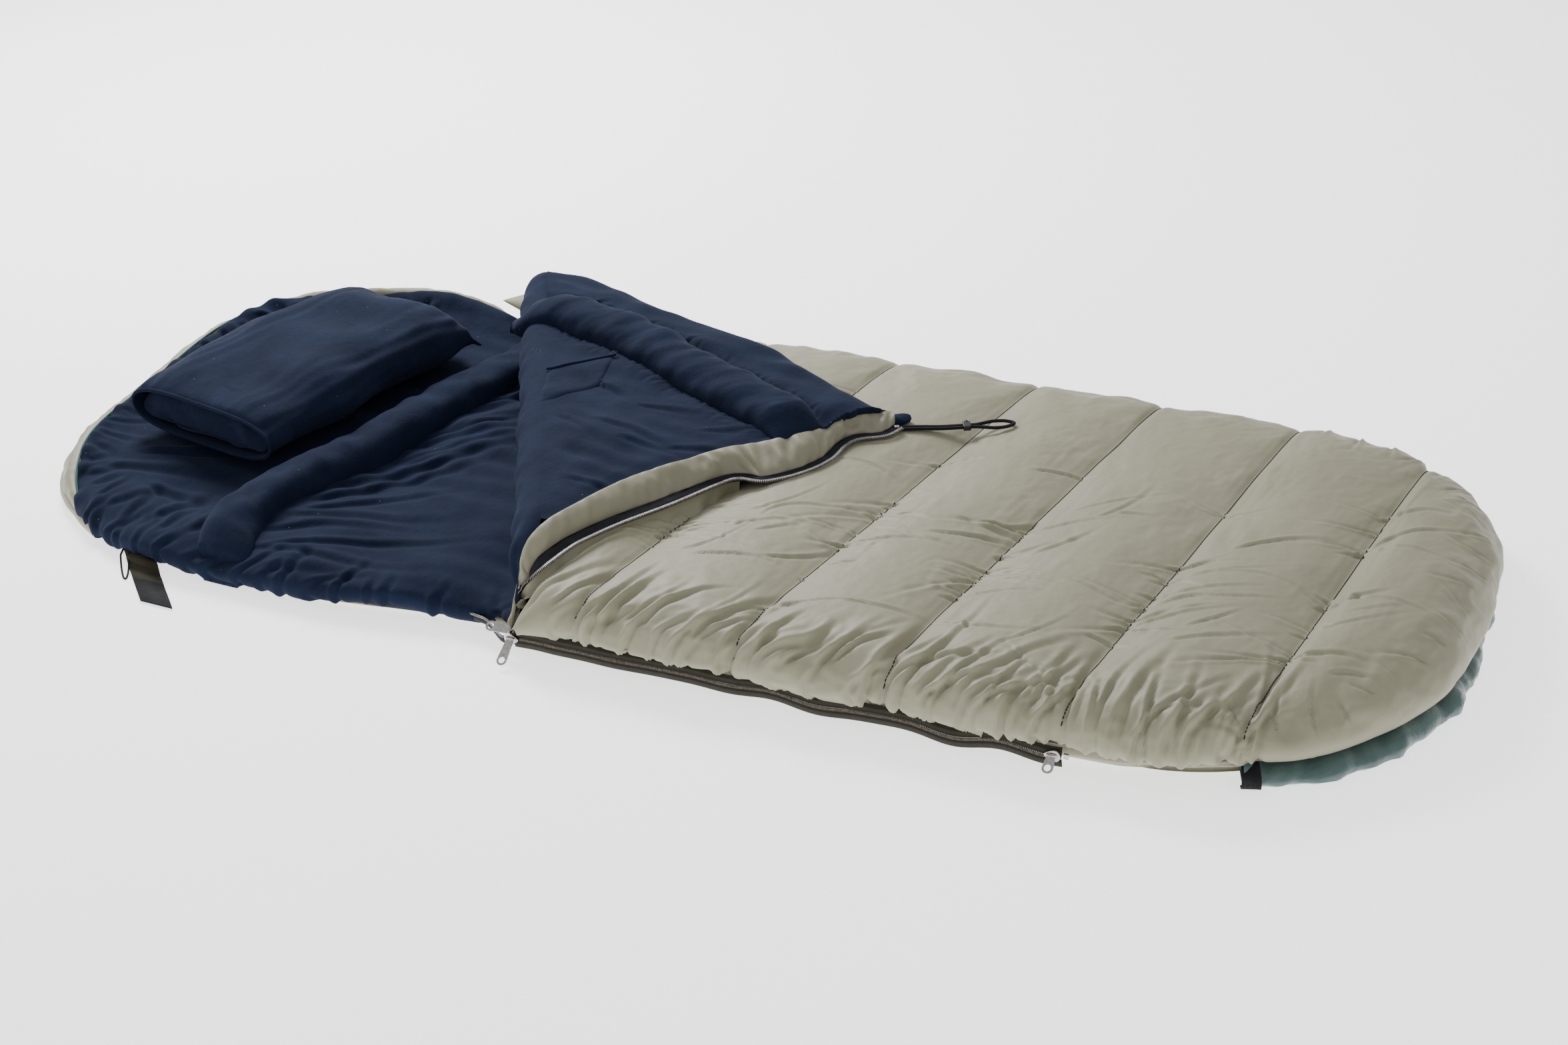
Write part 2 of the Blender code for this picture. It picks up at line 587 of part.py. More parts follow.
def build_cord_lock():
    turn = math.atan2(CORD_ALONG.y, CORD_ALONG.x)
    centre = CORD_START + CORD_ALONG * LOCK_AT
    place = Vector((centre.x, centre.y, CORD_Z + 0.0005))
    axis = add_axis("cord_lock_axis", place)
    body = block("cord_lock_body", LOCK_SIZE, place, (BLACK, 0.45), 0.0018, turn, axis)
    across = Vector((-CORD_ALONG.y, CORD_ALONG.x, 0))
    along = Vector((*CORD_ALONG, 0))
    for sign in (-1, 1):
        cutter = cylinder_cutter(f"cord_hole_{'left' if sign < 0 else 'right'}", CORD_RADIUS + 2 * GAP, 0.03,
                                 place + across * sign * CORD_SPACING / 2 - Vector((0, 0, 0.0005)), along)
        cut_with(body, cutter)
    bore = cylinder_cutter("plunger_bore", PLUNGER_RADIUS + 2 * GAP, 0.007,
                           place + across * (LOCK_SIZE.y / 2 - 0.0010), across)
    cut_with(body, bore)
    plunger_place = place + across * (LOCK_SIZE.y / 2 + PLUNGER_TRAVEL / 2 + 0.0006)
    plunger_axis = add_axis("cord_lock_plunger_axis", plunger_place)
    bm = bmesh.new()
    bmesh.ops.create_cone(bm, cap_ends=True, segments=20, radius1=PLUNGER_RADIUS, radius2=PLUNGER_RADIUS,
                          depth=PLUNGER_TRAVEL + 0.0012)
    bmesh.ops.rotate(bm, cent=(0, 0, 0), matrix=across.to_track_quat("Z", "Y").to_matrix(), verts=bm.verts)
    bmesh.ops.translate(bm, vec=plunger_place, verts=bm.verts)
    add_object("cord_lock_plunger", mesh_from(bm, "cord_lock_plunger"), (BLACK, 0.35), plunger_axis)
    build_lock_spring(place, across, axis)


def cylinder_cutter(name, radius, depth, centre, along):
    bm = bmesh.new()
    bmesh.ops.create_cone(bm, cap_ends=True, segments=20, radius1=radius, radius2=radius, depth=depth)
    bmesh.ops.rotate(bm, cent=(0, 0, 0), matrix=along.to_track_quat("Z", "Y").to_matrix(), verts=bm.verts)
    bmesh.ops.translate(bm, vec=centre, verts=bm.verts)
    cutter = bpy.data.objects.new(name, mesh_from(bm, name))
    cutter.hide_render = True
    cutter.display_type = "WIRE"
    CUTTERS.objects.link(cutter)
    return cutter


def cut_with(body, cutter):
    cut = body.modifiers.new("cut", "BOOLEAN")
    cut.operation = "DIFFERENCE"
    cut.object = cutter


def bar_between(name, low, high, look, parent=None):
    """A plain box between two corners."""
    low, high = Vector(low), Vector(high)
    return block(name, high - low, (low + high) / 2, look, parent=parent)


def build_lock_spring(place, across, axis):
    """The coil spring behind the plunger, from the bore's floor to the plunger."""
    start, reach, steps = 0.0054, 0.0037, 10 * SPRING_COILS
    side = Vector((0, 0, 1))
    other = across.cross(side)
    points = []
    for step in range(steps + 1):
        angle = 2 * math.pi * SPRING_COILS * step / steps
        centre = place + across * (start + reach * step / steps)
        spoke = side * math.cos(angle) + other * math.sin(angle)
        points.append(centre + spoke * SPRING_RADIUS)
    tube("cord_lock_spring", points, SPRING_WIRE, (SILVER, 0.3, 1.0), parent=axis, resolution=0)


# --- the zips -----------------------------------------------------------------------------------------

def zip_path(side, start_x, end_x, steps=8):
    """Plan path of a zip along a side of the bag (side -1 is near), and round the head's curve."""
    path = []
    for step in range(steps + 1):
        x = start_x + (end_x - start_x) * step / steps
        half_width = WIDTH / 2
        past = max(0.0, -x - (LENGTH / 2 - HEAD_DEPTH)) / HEAD_DEPTH
        half_width *= (1 - past ** HEAD_POWER) ** (1 / HEAD_POWER)
        path.append(Vector((x, side * (half_width + abs(ZIP_Y) - WIDTH / 2))))
    return path


def build_zip_sides(prefix, side, base_start_x, cover_start_x):
    """Tape and chain half on the base's edge, and the same on the cover's edge above it."""
    middle = CHAIN_GAP / 2
    for edge, start_x, sign in (("base", base_start_x, -1), ("cover", cover_start_x, 1)):
        path = zip_path(side, start_x, ZIP_END_X, 16)
        chain = sorted((ZIP_Z + sign * middle, ZIP_Z + sign * (middle + CHAIN_SIZE)))
        tape_start = middle + CHAIN_SIZE + GAP / 2
        tape = sorted((ZIP_Z + sign * tape_start, ZIP_Z + sign * (tape_start + TAPE_WIDTH)))
        upright_band(f"{prefix}zip_chain_{edge}", path, *chain, CHAIN_SIZE, (SILVER, 0.3, 1.0))
        upright_band(f"{prefix}zip_tape_{edge}", path, *tape, TAPE_THICKNESS, (BLACK, 0.8))
    stop = (ZIP_END_X + 0.006, side * abs(ZIP_Y), ZIP_Z)
    block(f"{prefix}zip_bottom_stop", (0.007, 0.0036, 0.0075), stop, (SILVER, 0.3, 1.0), 0.0005)


def build_slider(name, x, side, post_end, with_inner_pin=False):
    """Two plates either side of the chain, a post between the chain halves, and a bar for the pull."""
    place = Vector((x, side * abs(ZIP_Y), ZIP_Z))
    axis = add_axis(name + "_axis", place)
    look = (SILVER, 0.3, 1.0)
    half_length, half_height = SLIDER_LENGTH / 2, SLIDER_HEIGHT / 2
    inner, outer = SLIDER_OPENING / 2, SLIDER_OPENING / 2 + SLIDER_PLATE
    body = bar_between(name, place + Vector((-half_length, -outer, -half_height)),
                       place + Vector((half_length, outer, half_height)), look, axis)
    slot_x = sorted((-post_end * (half_length + 0.001), post_end * (half_length - 0.0025)))
    cuts = [((slot_x[0], -inner, -half_height - 0.001), (slot_x[1], inner, half_height + 0.001))]
    for sign in (-1, 1):
        z = sorted((sign * SLIDER_POST / 2, sign * (half_height + 0.001)))
        cuts.append(((-half_length - 0.001, -inner, z[0]), (half_length + 0.001, inner, z[1])))
    for number, (low, high) in enumerate(cuts):
        cutter = bar_between(f"{name}_slot_{number}", place + Vector(low), place + Vector(high), look)
        make_cutter(cutter)
        cut_with(body, cutter)
    add_pull_bar(body, name + "_bar", place + Vector((0, side * (outer + BAR_STANDOFF), 0.002)),
                 Vector((1, 0, 0)), Vector((0, -side, 0)))
    if with_inner_pin:
        pin = Vector((x + INNER_PIN_X, place.y + outer, INNER_PIN_Z))
        half_bar = BAR_SIZE / 2
        shaft = bar_between(name + "_pin", pin + Vector((-half_bar, -0.0005, -half_bar)),
                            pin + Vector((half_bar, KNUCKLE_LENGTH + 0.0014, half_bar)), look)
        head = bar_between(name + "_pin_head", pin + Vector((-0.0016, KNUCKLE_LENGTH + 0.0010, -0.0016)),
                           pin + Vector((0.0016, KNUCKLE_LENGTH + 0.0020, 0.0016)), look)
        for piece in (shaft, head):
            make_cutter(piece)
            join_with(body, piece)
    return axis


def add_pull_bar(body, name, centre, along, inward):
    """A bar on two legs, standing off the slider's plate."""
    half_span = KNUCKLE_LENGTH / 2 + 0.0004 + BAR_SIZE
    half_bar = BAR_SIZE / 2
    up = along.cross(inward)
    boxes = [(-along * half_span, along * half_span, 0.0)]
    for sign in (-1, 1):
        edges = (along * sign * (half_span - BAR_SIZE), along * sign * half_span)
        boxes.append((*edges, BAR_STANDOFF + 0.0004))
    for number, (start, stop, reach) in enumerate(boxes):
        corners = [centre + start - (inward + up) * half_bar, centre + stop + (inward + up) * half_bar]
        corners[1] += inward * reach
        low = Vector(map(min, *corners))
        high = Vector(map(max, *corners))
        piece = bar_between(f"{name}_{number}", low, high, (SILVER, 0.3, 1.0))
        make_cutter(piece)
        join_with(body, piece)


def build_pull(name, pivot, reach, pin, length, parent):
    """A flat tapered tab with a knuckle round the slider's bar and a hole near its end."""
    axis = add_axis(name + "_axis", pivot)
    axis.parent = parent
    axis.matrix_parent_inverse = parent.matrix_world.inverted()
    bpy.context.view_layer.update()
    look = (SILVER, 0.3, 1.0)
    reach, pin = reach.normalized(), pin.normalized()
    normal = reach.cross(pin)
    end_radius = PULL_END_WIDTH / 2
    root = KNUCKLE_BORE + 0.0003
    outline_points = [(root, -PULL_ROOT_WIDTH / 2), (root, PULL_ROOT_WIDTH / 2)]
    for step in range(9):
        angle = math.pi / 2 - math.pi * step / 8
        tip = length - end_radius + end_radius * math.cos(angle)
        outline_points.append((tip, end_radius * math.sin(angle)))
    rings = []
    for sign in (-1, 1):
        face = pivot + normal * sign * PULL_THICKNESS / 2
        rings.append([face + reach * u + pin * w for u, w in outline_points])
    body = add_object(name, mesh_from(loft(rings, cap_start=True, cap_end=True), name), look, axis)
    knuckle = cylinder_cutter(name + "_knuckle", KNUCKLE_RADIUS, KNUCKLE_LENGTH, pivot, pin)
    join_with(body, knuckle)
    cut_with(body, cylinder_cutter(name + "_bore", KNUCKLE_BORE, KNUCKLE_LENGTH + 0.004, pivot, pin))
    hole = pivot + reach * (length - end_radius)
    cut_with(body, cylinder_cutter(name + "_hole", PULL_HOLE_RADIUS, 0.006, hole, normal))


def build_zips():
    build_zip_sides("", -1, OPEN_ZIP_HEAD_X, ZIP_START_X + 0.006)
    build_zip_sides("far_", 1, FAR_START_X - 0.12, FAR_START_X + 0.006)
    outer = SLIDER_OPENING / 2 + SLIDER_PLATE
    sliders = (("main_slider", ZIP_START_X, -1, -1, "outer_pull", PULL_LENGTH),
               ("bottom_slider", ZIP_END_X - 0.012, -1, 1, "bottom_pull", SHORT_PULL_LENGTH),
               ("far_slider", FAR_START_X, 1, -1, "far_pull", PULL_LENGTH))
    for name, x, side, post_end, pull_name, length in sliders:
        axis = build_slider(name, x, side, post_end, with_inner_pin=name == "main_slider")
        pivot = Vector((x, side * (abs(ZIP_Y) + outer + BAR_STANDOFF), ZIP_Z + 0.002))
        reach = Vector((0, side * math.cos(PULL_DROOP), -math.sin(PULL_DROOP)))
        build_pull(pull_name, pivot, reach, Vector((1, 0, 0)), length, axis)
        if name == "main_slider":
            pin = Vector((x + INNER_PIN_X, ZIP_Y + outer + KNUCKLE_LENGTH / 2 + 0.0005, INNER_PIN_Z))
            build_pull("inner_pull", pin, Vector((-1, 0, 0)), Vector((0, 1, 0)), length, axis)


def make_cutter(obj):
    """Move an object out of the bag's collection: it only shapes another one."""
    BAG.objects.unlink(obj)
    CUTTERS.objects.link(obj)
    obj.hide_render = True
    obj.display_type = "WIRE"


def join_with(body, piece):
    union = body.modifiers.new("join", "BOOLEAN")
    union.operation = "UNION"
    union.object = piece


# --- the pillow ---------------------------------------------------------------------------------------

def pillow_rings(stations, inset):
    """Soft-cornered sections across the pillow, from its open near end to its far end."""
    corner_points = 16
    turn = Matrix.Rotation(PILLOW_TURN, 2)
    rings = []
    for station, width_share, height_share in stations:
        half_width = PILLOW_WIDTH / 2 * width_share - inset
        half_height = PILLOW_HEIGHT / 2 * height_share - inset
        ring = []
        for i in range(corner_points):
            angle = 2 * math.pi * i / corner_points
            cosine, sine = math.cos(angle), math.sin(angle)
            across = half_width * math.copysign(abs(cosine) ** 0.55, cosine)
            rise = half_height * math.copysign(abs(sine) ** 0.75, sine)
            plan = PILLOW_CENTRE + turn @ Vector((across, station * PILLOW_LENGTH / 2))
            ring.append((plan.x, plan.y, PILLOW_FLOOR + half_height + inset + rise))
        rings.append(ring)
    return rings


def build_pillow():
    case_stations = [(-0.985, 0.94, 0.62), (-0.85, 0.97, 0.86), (-0.5, 1.0, 1.0), (0.0, 1.0, 1.0),
                     (0.5, 0.99, 0.97), (0.85, 0.96, 0.72), (0.96, 0.94, 0.38)]
    bm = loft(pillow_rings(case_stations, 0.0), cap_start=False, cap_end=True)
    case = add_object("pillow_case", mesh_from(bm, "pillow_case"), (NAVY, 0.95))
    wall = case.modifiers.new("fabric", "SOLIDIFY")
    wall.thickness = SKIN
    wall.offset = -1
    wall.use_even_offset = True
    pad_stations = [(-0.90, 0.90, 0.55), (-0.80, 0.95, 0.80), (-0.5, 0.985, 0.97), (0.0, 0.985, 0.97),
                    (0.5, 0.975, 0.93), (0.80, 0.94, 0.70), (0.90, 0.88, 0.45)]
    bm = loft(pillow_rings(pad_stations, PILLOW_WALL), cap_start=True, cap_end=True)
    add_object("pillow_pad", mesh_from(bm, "pillow_pad"), (WADDING, 0.9))
    mouth = pillow_rings([(-0.985 - 0.012, 0.94, 0.62)], 0.0)[0]
    tube("pillow_piping", mouth, 0.0018, (NAVY, 0.9), cyclic=True)


# --- strap and loop at the head -----------------------------------------------------------------------

def build_strap():
    """A strap sewn to the near hem that lies on the floor, with a black fastening end."""
    axis = add_axis("side_strap_axis", Vector((STRAP_ROOT.x, STRAP_ROOT.y, 0.0060)))

    def edges(shares):
        sides = ([], [])
        for share in shares:
            lift = 0.0056 * max(0.0, 1 - share / 0.12) ** 2 + 0.0006
            for side, points in zip((-1, 1), sides):
                plan = STRAP_ROOT + STRAP_HEM * side / 2 + STRAP_REACH * share
                points.append(Vector((plan.x, plan.y, lift)))
        return sides

    olive = [0.0, 0.04, 0.08, 0.12, STRAP_OLIVE_SHARE]
    strip("strap_webbing", *edges(olive), STRAP_THICKNESS, (DARK_OLIVE, 0.8), axis)
    strip("strap_fastener", *edges([STRAP_OLIVE_SHARE + 0.004, 1.0]), STRAP_THICKNESS, (BLACK, 0.9), axis)


def build_elastic_loop():
    """A thin elastic loop sewn to the hem beside the strap."""
    root, reach, spread = Vector((-0.836, -0.4335)), Vector((0.034, -0.046)), Vector((0.012, 0.004))
    points = []
    steps = 12
    for step in range(steps + 1):
        angle = math.pi * step / steps
        plan = root + reach * math.sin(angle) + spread * (1 - math.cos(angle)) / 2
        points.append((plan.x, plan.y, LOOP_RADIUS + 0.0005 + 0.004 * (1 - math.sin(angle)) ** 2))
    tube("elastic_loop", points, LOOP_RADIUS, (BLACK, 0.8))


def main():
    build_base()
    build_base_baffle()
    build_pockets()
    build_cover()
    build_fold()
    flap_axis = add_axis("flap_fold_axis", fold_point(0, 0, FOLD_Z))
    build_flap(flap_axis)
    build_flap_edge(flap_axis)
    build_flap_baffle(flap_axis)
    build_inner_pocket(flap_axis)
    build_drawcord(flap_axis)
    build_cord_lock()
    build_zips()
    build_pillow()
    build_strap()
    build_elastic_loop()


clear_scene()
BAG = new_collection("sleeping_bag")
CUTTERS = new_collection("cutters")
main()
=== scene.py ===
"""Looks of a padded bedchair sleeping bag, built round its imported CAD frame.

Every soft CAD solid is replaced by a wrinkled fabric piece that lies in the same place. Metres, +Z up,
+X from the head to the foot, -Y the near side with the main zip.
"""
import math

import bmesh
import bpy
import numpy as np
from mathutils import Matrix, Vector, kdtree
from mathutils.bvhtree import BVHTree
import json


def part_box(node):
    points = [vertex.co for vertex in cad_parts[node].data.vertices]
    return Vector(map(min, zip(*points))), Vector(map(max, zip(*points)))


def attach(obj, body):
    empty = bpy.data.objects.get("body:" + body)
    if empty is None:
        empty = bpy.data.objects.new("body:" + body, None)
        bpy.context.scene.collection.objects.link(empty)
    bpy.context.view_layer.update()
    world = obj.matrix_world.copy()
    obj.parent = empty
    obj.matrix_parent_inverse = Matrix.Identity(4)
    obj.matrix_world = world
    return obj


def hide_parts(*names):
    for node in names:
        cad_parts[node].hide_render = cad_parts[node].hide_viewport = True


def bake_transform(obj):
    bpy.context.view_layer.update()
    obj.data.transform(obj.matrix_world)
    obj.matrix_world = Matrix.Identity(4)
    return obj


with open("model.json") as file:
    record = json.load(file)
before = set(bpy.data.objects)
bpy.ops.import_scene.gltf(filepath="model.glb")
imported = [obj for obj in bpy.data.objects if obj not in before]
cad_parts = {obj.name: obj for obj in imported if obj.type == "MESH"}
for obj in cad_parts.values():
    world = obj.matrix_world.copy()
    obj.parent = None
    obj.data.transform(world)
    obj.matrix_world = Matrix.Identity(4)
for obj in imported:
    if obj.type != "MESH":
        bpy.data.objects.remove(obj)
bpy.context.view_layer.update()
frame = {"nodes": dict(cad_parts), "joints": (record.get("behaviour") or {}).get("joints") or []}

# --- sizes and places from the frame -------------------------------------------------------------------------
HALF_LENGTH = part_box("base_shell")[1].x
HALF_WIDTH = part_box("base_shell")[1].y
COVER_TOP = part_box("cover_shell")[1].z
HEAD_DEPTH, HEAD_POWER = 0.57, 2.7
FOOT_DEPTH, FOOT_POWER = 0.52, 3.0
FOLD = next(joint for joint in frame["joints"] if joint["name"] == "flap_fold")
FOLD_START = np.array(FOLD["pos_m"])
FOLD_ALONG = np.array(FOLD["axis"]) / np.linalg.norm(FOLD["axis"])
FOLD_ACROSS = np.array([FOLD_ALONG[1], -FOLD_ALONG[0], 0.0])
FOLD_RADIUS = 0.0425
POCKET_MOUTH_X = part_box("foot_pocket")[0].x
ZIP_Z = (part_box("zip_chain_base")[1].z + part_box("zip_chain_cover")[0].z) / 2
ZIP_Y = (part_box("zip_chain_base")[0].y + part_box("zip_chain_cover")[0].y) / 2

# --- the cover's stitching -----------------------------------------------------------------------------------
SEAMS = (-0.435, -0.205, 0.032, 0.276, 0.489, 0.725, 0.945)   # where each channel seam crosses the middle
SEAM_SLANT_HEAD, SEAM_SLANT_FOOT = 0.134, 0.066               # their slant, in metres per metre of width
CELL = 0.0065


# --- numbers -------------------------------------------------------------------------------------------------

def smooth(low, high, value):
    t = np.clip((value - low) / (high - low), 0.0, 1.0)
    return t * t * (3 - 2 * t)


def hump(value, middle, width):
    return np.exp(-((value - middle) / width) ** 2)


def ripple(points, wavelength, seed, stretch=(1.0, 1.0, 1.0), waves=12):
    """A smooth random field of about unit size: the sum of plane waves in random directions."""
    rng = np.random.default_rng(seed)
    points = np.asarray(points, float) * np.array(stretch)
    field = np.zeros(len(points))
    for _ in range(waves):
        direction = rng.normal(size=3)
        direction *= 2 * math.pi / (np.linalg.norm(direction) * wavelength * rng.uniform(0.7, 1.5))
        field += np.sin(points @ direction + rng.uniform(0, 2 * math.pi))
    return field * math.sqrt(2 / waves)


def spline(points, count):
    """A smooth curve through the points, resampled evenly by length."""
    points = np.array(points, float)
    padded = np.vstack([2 * points[0] - points[1], points, 2 * points[-1] - points[-2]])
    dense = []
    for i in range(1, len(padded) - 2):
        a, b, c, d = padded[i - 1:i + 3]
        for t in np.linspace(0, 1, 24, endpoint=False):
            dense.append(0.5 * (2 * b + (c - a) * t + (2 * a - 5 * b + 4 * c - d) * t ** 2
                                + (3 * b - a - 3 * c + d) * t ** 3))
    dense.append(points[-1])
    return resample(np.array(dense), count)


def resample(points, count):
    lengths = np.concatenate([[0], np.cumsum(np.linalg.norm(np.diff(points, axis=0), axis=1))])
    where = np.linspace(0, lengths[-1], count)
    return np.stack([np.interp(where, lengths, points[:, k]) for k in range(points.shape[1])], axis=1)


# --- the bag's plan ------------------------------------------------------------------------------------------

def end_curve(depth, power, sign, steps=400):
    angles = np.linspace(-math.pi / 2, math.pi / 2, steps)
    along = np.cos(angles).clip(0) ** (2 / power)
    aside = np.abs(np.sin(angles)) ** (2 / power) * np.sign(angles)
    return np.stack([sign * (HALF_LENGTH - depth + depth * along), -sign * aside * HALF_WIDTH], axis=1)


def bag_outline(count=3600):
    """The plan outline, clockwise from the foot's far corner, with its inward directions."""
    foot = end_curve(FOOT_DEPTH, FOOT_POWER, 1)
    head = end_curve(HEAD_DEPTH, HEAD_POWER, -1)
    points = resample(np.vstack([foot, head, foot[:1]]), count + 1)[:-1]
    ahead = np.roll(points, -1, axis=0) - np.roll(points, 1, axis=0)
    ahead /= np.linalg.norm(ahead, axis=1)[:, None]
    inward = np.stack([ahead[:, 1], -ahead[:, 0]], axis=1)
    rounding = 0.018 * smooth(0.80, 1.02, points[:, 0]) * smooth(-0.10, -0.30, points[:, 1])
    return points + inward * rounding[:, None], inward


OUTLINE, INWARD = bag_outline()
TREE = kdtree.KDTree(len(OUTLINE))
for number, point in enumerate(OUTLINE):
    TREE.insert((*point, 0.0), number)
TREE.balance()


def nearest_edge(plan):
    """For plan points: the nearest outline point's number, and the distance inwards from the outline."""
    found = np.array([TREE.find((x, y, 0.0))[1] for x, y in plan])
    depth = ((plan - OUTLINE[found]) * INWARD[found]).sum(axis=1)
    return found, depth


def profile(points):
    """An edge section from the hem to the top, as (arc length, inset, height) arrays."""
    curve = spline(points, 200)
    arc = np.concatenate([[0], np.cumsum(np.linalg.norm(np.diff(curve, axis=0), axis=1))])
    return arc, curve[:, 0], curve[:, 1]


def wrap_over_edge(plan, section, cell):
    """Lay flat plan points over the bag's edge. Returns their places, arc lengths from the hem, and a keep mask."""
    arc, inset, height = section
    found, depth = nearest_edge(plan)
    overhang = arc[-1] - inset[-1]
    along = depth + overhang
    keep = along > -cell * 0.5
    along = np.where(np.abs(along) <= cell * 0.5, 0.0, along)
    places = np.empty((len(plan), 3))
    places[:, :2] = plan
    places[:, 2] = height[-1]
    edge = along < arc[-1]
    wrapped = np.clip(along[edge], 0, None)
    places[edge, :2] = OUTLINE[found[edge]] + INWARD[found[edge]] * np.interp(wrapped, arc, inset)[:, None]
    places[edge, 2] = np.interp(wrapped, arc, height)
    return places, along, keep


# --- meshes --------------------------------------------------------------------------------------------------

def grid_faces(rows, columns, wrap=False):
    """Faces of a grid whose points are numbered row by row. A wrapped grid joins its last column to its first."""
    across = columns if wrap else columns - 1
    i, j = np.meshgrid(np.arange(rows - 1), np.arange(across), indexing="ij")
    k = (j + 1) % columns
    return np.stack([i * columns + j, i * columns + k, (i + 1) * columns + k, (i + 1) * columns + j],
                    axis=-1).reshape(-1, 4)


def mesh_object(name, vertices, faces):
    mesh = bpy.data.meshes.new(name)
    mesh.from_pydata(np.asarray(vertices).tolist(), [], [list(map(int, face)) for face in faces])
    mesh.validate()
    mesh.shade_smooth()
    obj = bpy.data.objects.new(name, mesh)
    bpy.context.scene.collection.objects.link(obj)
    return obj


def kept_mesh(name, vertices, faces, keep):
    """A mesh of the faces whose points are all kept. Returns it and the numbers of its points."""
    faces = faces[keep[faces].all(axis=1)]
    used = np.unique(faces)
    renumber = np.full(len(vertices), -1)
    renumber[used] = np.arange(len(used))
    return mesh_object(name, vertices[used], renumber[faces]), used


def coordinates(obj):
    flat = np.empty(len(obj.data.vertices) * 3, np.float32)
    obj.data.vertices.foreach_get("co", flat)
    return flat.reshape(-1, 3).astype(float)


def normals(obj):
    flat = np.empty(len(obj.data.vertices) * 3, np.float32)
    obj.data.vertices.foreach_get("normal", flat)
    return flat.reshape(-1, 3).astype(float)


def set_coordinates(obj, places):
    obj.data.vertices.foreach_set("co", np.asarray(places, np.float32).ravel())
    obj.data.update()


def face_up(obj):
    """Turn the mesh's faces so that most of its area looks up."""
    if sum(face.normal.z * face.area for face in obj.data.polygons) < 0:
        obj.data.flip_normals()
    return obj


def apply_modifiers(obj):
    graph = bpy.context.evaluated_depsgraph_get()
    mesh = bpy.data.meshes.new_from_object(obj.evaluated_get(graph))
    obj.modifiers.clear()
    old = obj.data
    obj.data = mesh
    bpy.data.meshes.remove(old)
    mesh.shade_smooth()
    return obj


def subdivide(obj, levels=1):
    modifier = obj.modifiers.new("finer", "SUBSURF")
    modifier.levels = levels
    modifier.render_levels = levels
    modifier.boundary_smooth = "PRESERVE_CORNERS"
    return apply_modifiers(obj)


def fold_place(along, across, height):
    """World places of points given in fold coordinates."""
    along, across, height = np.broadcast_arrays(along, across, height)
    places = FOLD_START[:2] + np.outer(along.ravel(), FOLD_ALONG[:2]) + np.outer(across.ravel(), FOLD_ACROSS[:2])
    return np.column_stack([places, height.ravel()])


def fold_coordinates(points):
    offset = points[:, :2] - FOLD_START[:2]
    return offset @ FOLD_ALONG[:2], offset @ FOLD_ACROSS[:2]


def tube(name, path, radius, sides=10, closed=False, flat=1.0):
    """A round or flattened tube along a dense path. radius may be one number or one per point."""
    path = np.asarray(path, float)
    count = len(path)
    radii = np.broadcast_to(np.asarray(radius, float), (count,))
    if closed:
        ahead = np.roll(path, -1, axis=0) - np.roll(path, 1, axis=0)
    else:
        ahead = np.gradient(path, axis=0)
    ahead /= np.linalg.norm(ahead, axis=1)[:, None]
    up = np.array([0.0, 0.0, 1.0])
    side = np.cross(ahead, up)
    weak = np.linalg.norm(side, axis=1) < 1e-4
    side[weak] = np.cross(ahead[weak], [0.0, 1.0, 0.0])
    side /= np.linalg.norm(side, axis=1)[:, None]
    top = np.cross(side, ahead)
    angles = np.linspace(0, 2 * math.pi, sides, endpoint=False)
    rings = (path[:, None, :] + radii[:, None, None] * (np.cos(angles)[None, :, None] * side[:, None, :]
             + flat * np.sin(angles)[None, :, None] * top[:, None, :]))
    vertices = rings.reshape(-1, 3)
    faces = grid_faces(count, sides, wrap=True).tolist()
    if closed:
        last = (count - 1) * sides
        faces += [[last + j, last + (j + 1) % sides, (j + 1) % sides, j] for j in range(sides)]
    else:
        faces += [list(range(sides))[::-1], [(count - 1) * sides + j for j in range(sides)]]
    obj = mesh_object(name, vertices, faces)
    bm = bmesh.new()
    bm.from_mesh(obj.data)
    bmesh.ops.recalc_face_normals(bm, faces=bm.faces)
    bm.to_mesh(obj.data)
    bm.free()
    return obj


def ribbon(name, left, right, thickness=0.0):
    """A band between two edges of equally many points, with a thickness along its normal."""
    count = len(left)
    vertices = np.vstack([left, right])
    faces = [[i, i + 1, count + i + 1, count + i] for i in range(count - 1)]
    obj = face_up(mesh_object(name, vertices, faces))
    if thickness:
        solid = obj.modifiers.new("thick", "SOLIDIFY")
        solid.thickness = thickness
        solid.offset = 0.0
        apply_modifiers(obj)
    return obj


# --- materials -----------------------------------------------------------------------------------------------

def new_material(name):
    material = bpy.data.materials.new(name)
    material.use_nodes = True
    nodes, links = material.node_tree.nodes, material.node_tree.links
    shader = nodes["Principled BSDF"]
    coords = nodes.new("ShaderNodeTexCoord").outputs["Object"]
    return material, nodes, links, shader, coords


def noise_node(nodes, links, coords, scale, detail=3.0, roughness=0.55):
    node = nodes.new("ShaderNodeTexNoise")
    node.inputs["Scale"].default_value = scale
    node.inputs["Detail"].default_value = detail
    node.inputs["Roughness"].default_value = roughness
    links.new(coords, node.inputs["Vector"])
    return node.outputs["Fac"]


def stretched(nodes, links, coords, scale):
    node = nodes.new("ShaderNodeMapping")
    node.inputs["Scale"].default_value = scale
    links.new(coords, node.inputs["Vector"])
    return node.outputs["Vector"]


def ramp(nodes, links, value, stops):
    node = nodes.new("ShaderNodeValToRGB")
    node.color_ramp.elements[0].position = stops[0][0]
    node.color_ramp.elements[0].color = (*stops[0][1], 1)
    node.color_ramp.elements[1].position = stops[-1][0]
    node.color_ramp.elements[1].color = (*stops[-1][1], 1)
    for position, colour in stops[1:-1]:
        element = node.color_ramp.elements.new(position)
        element.color = (*colour, 1)
    links.new(value, node.inputs["Fac"])
    return node.outputs["Color"]


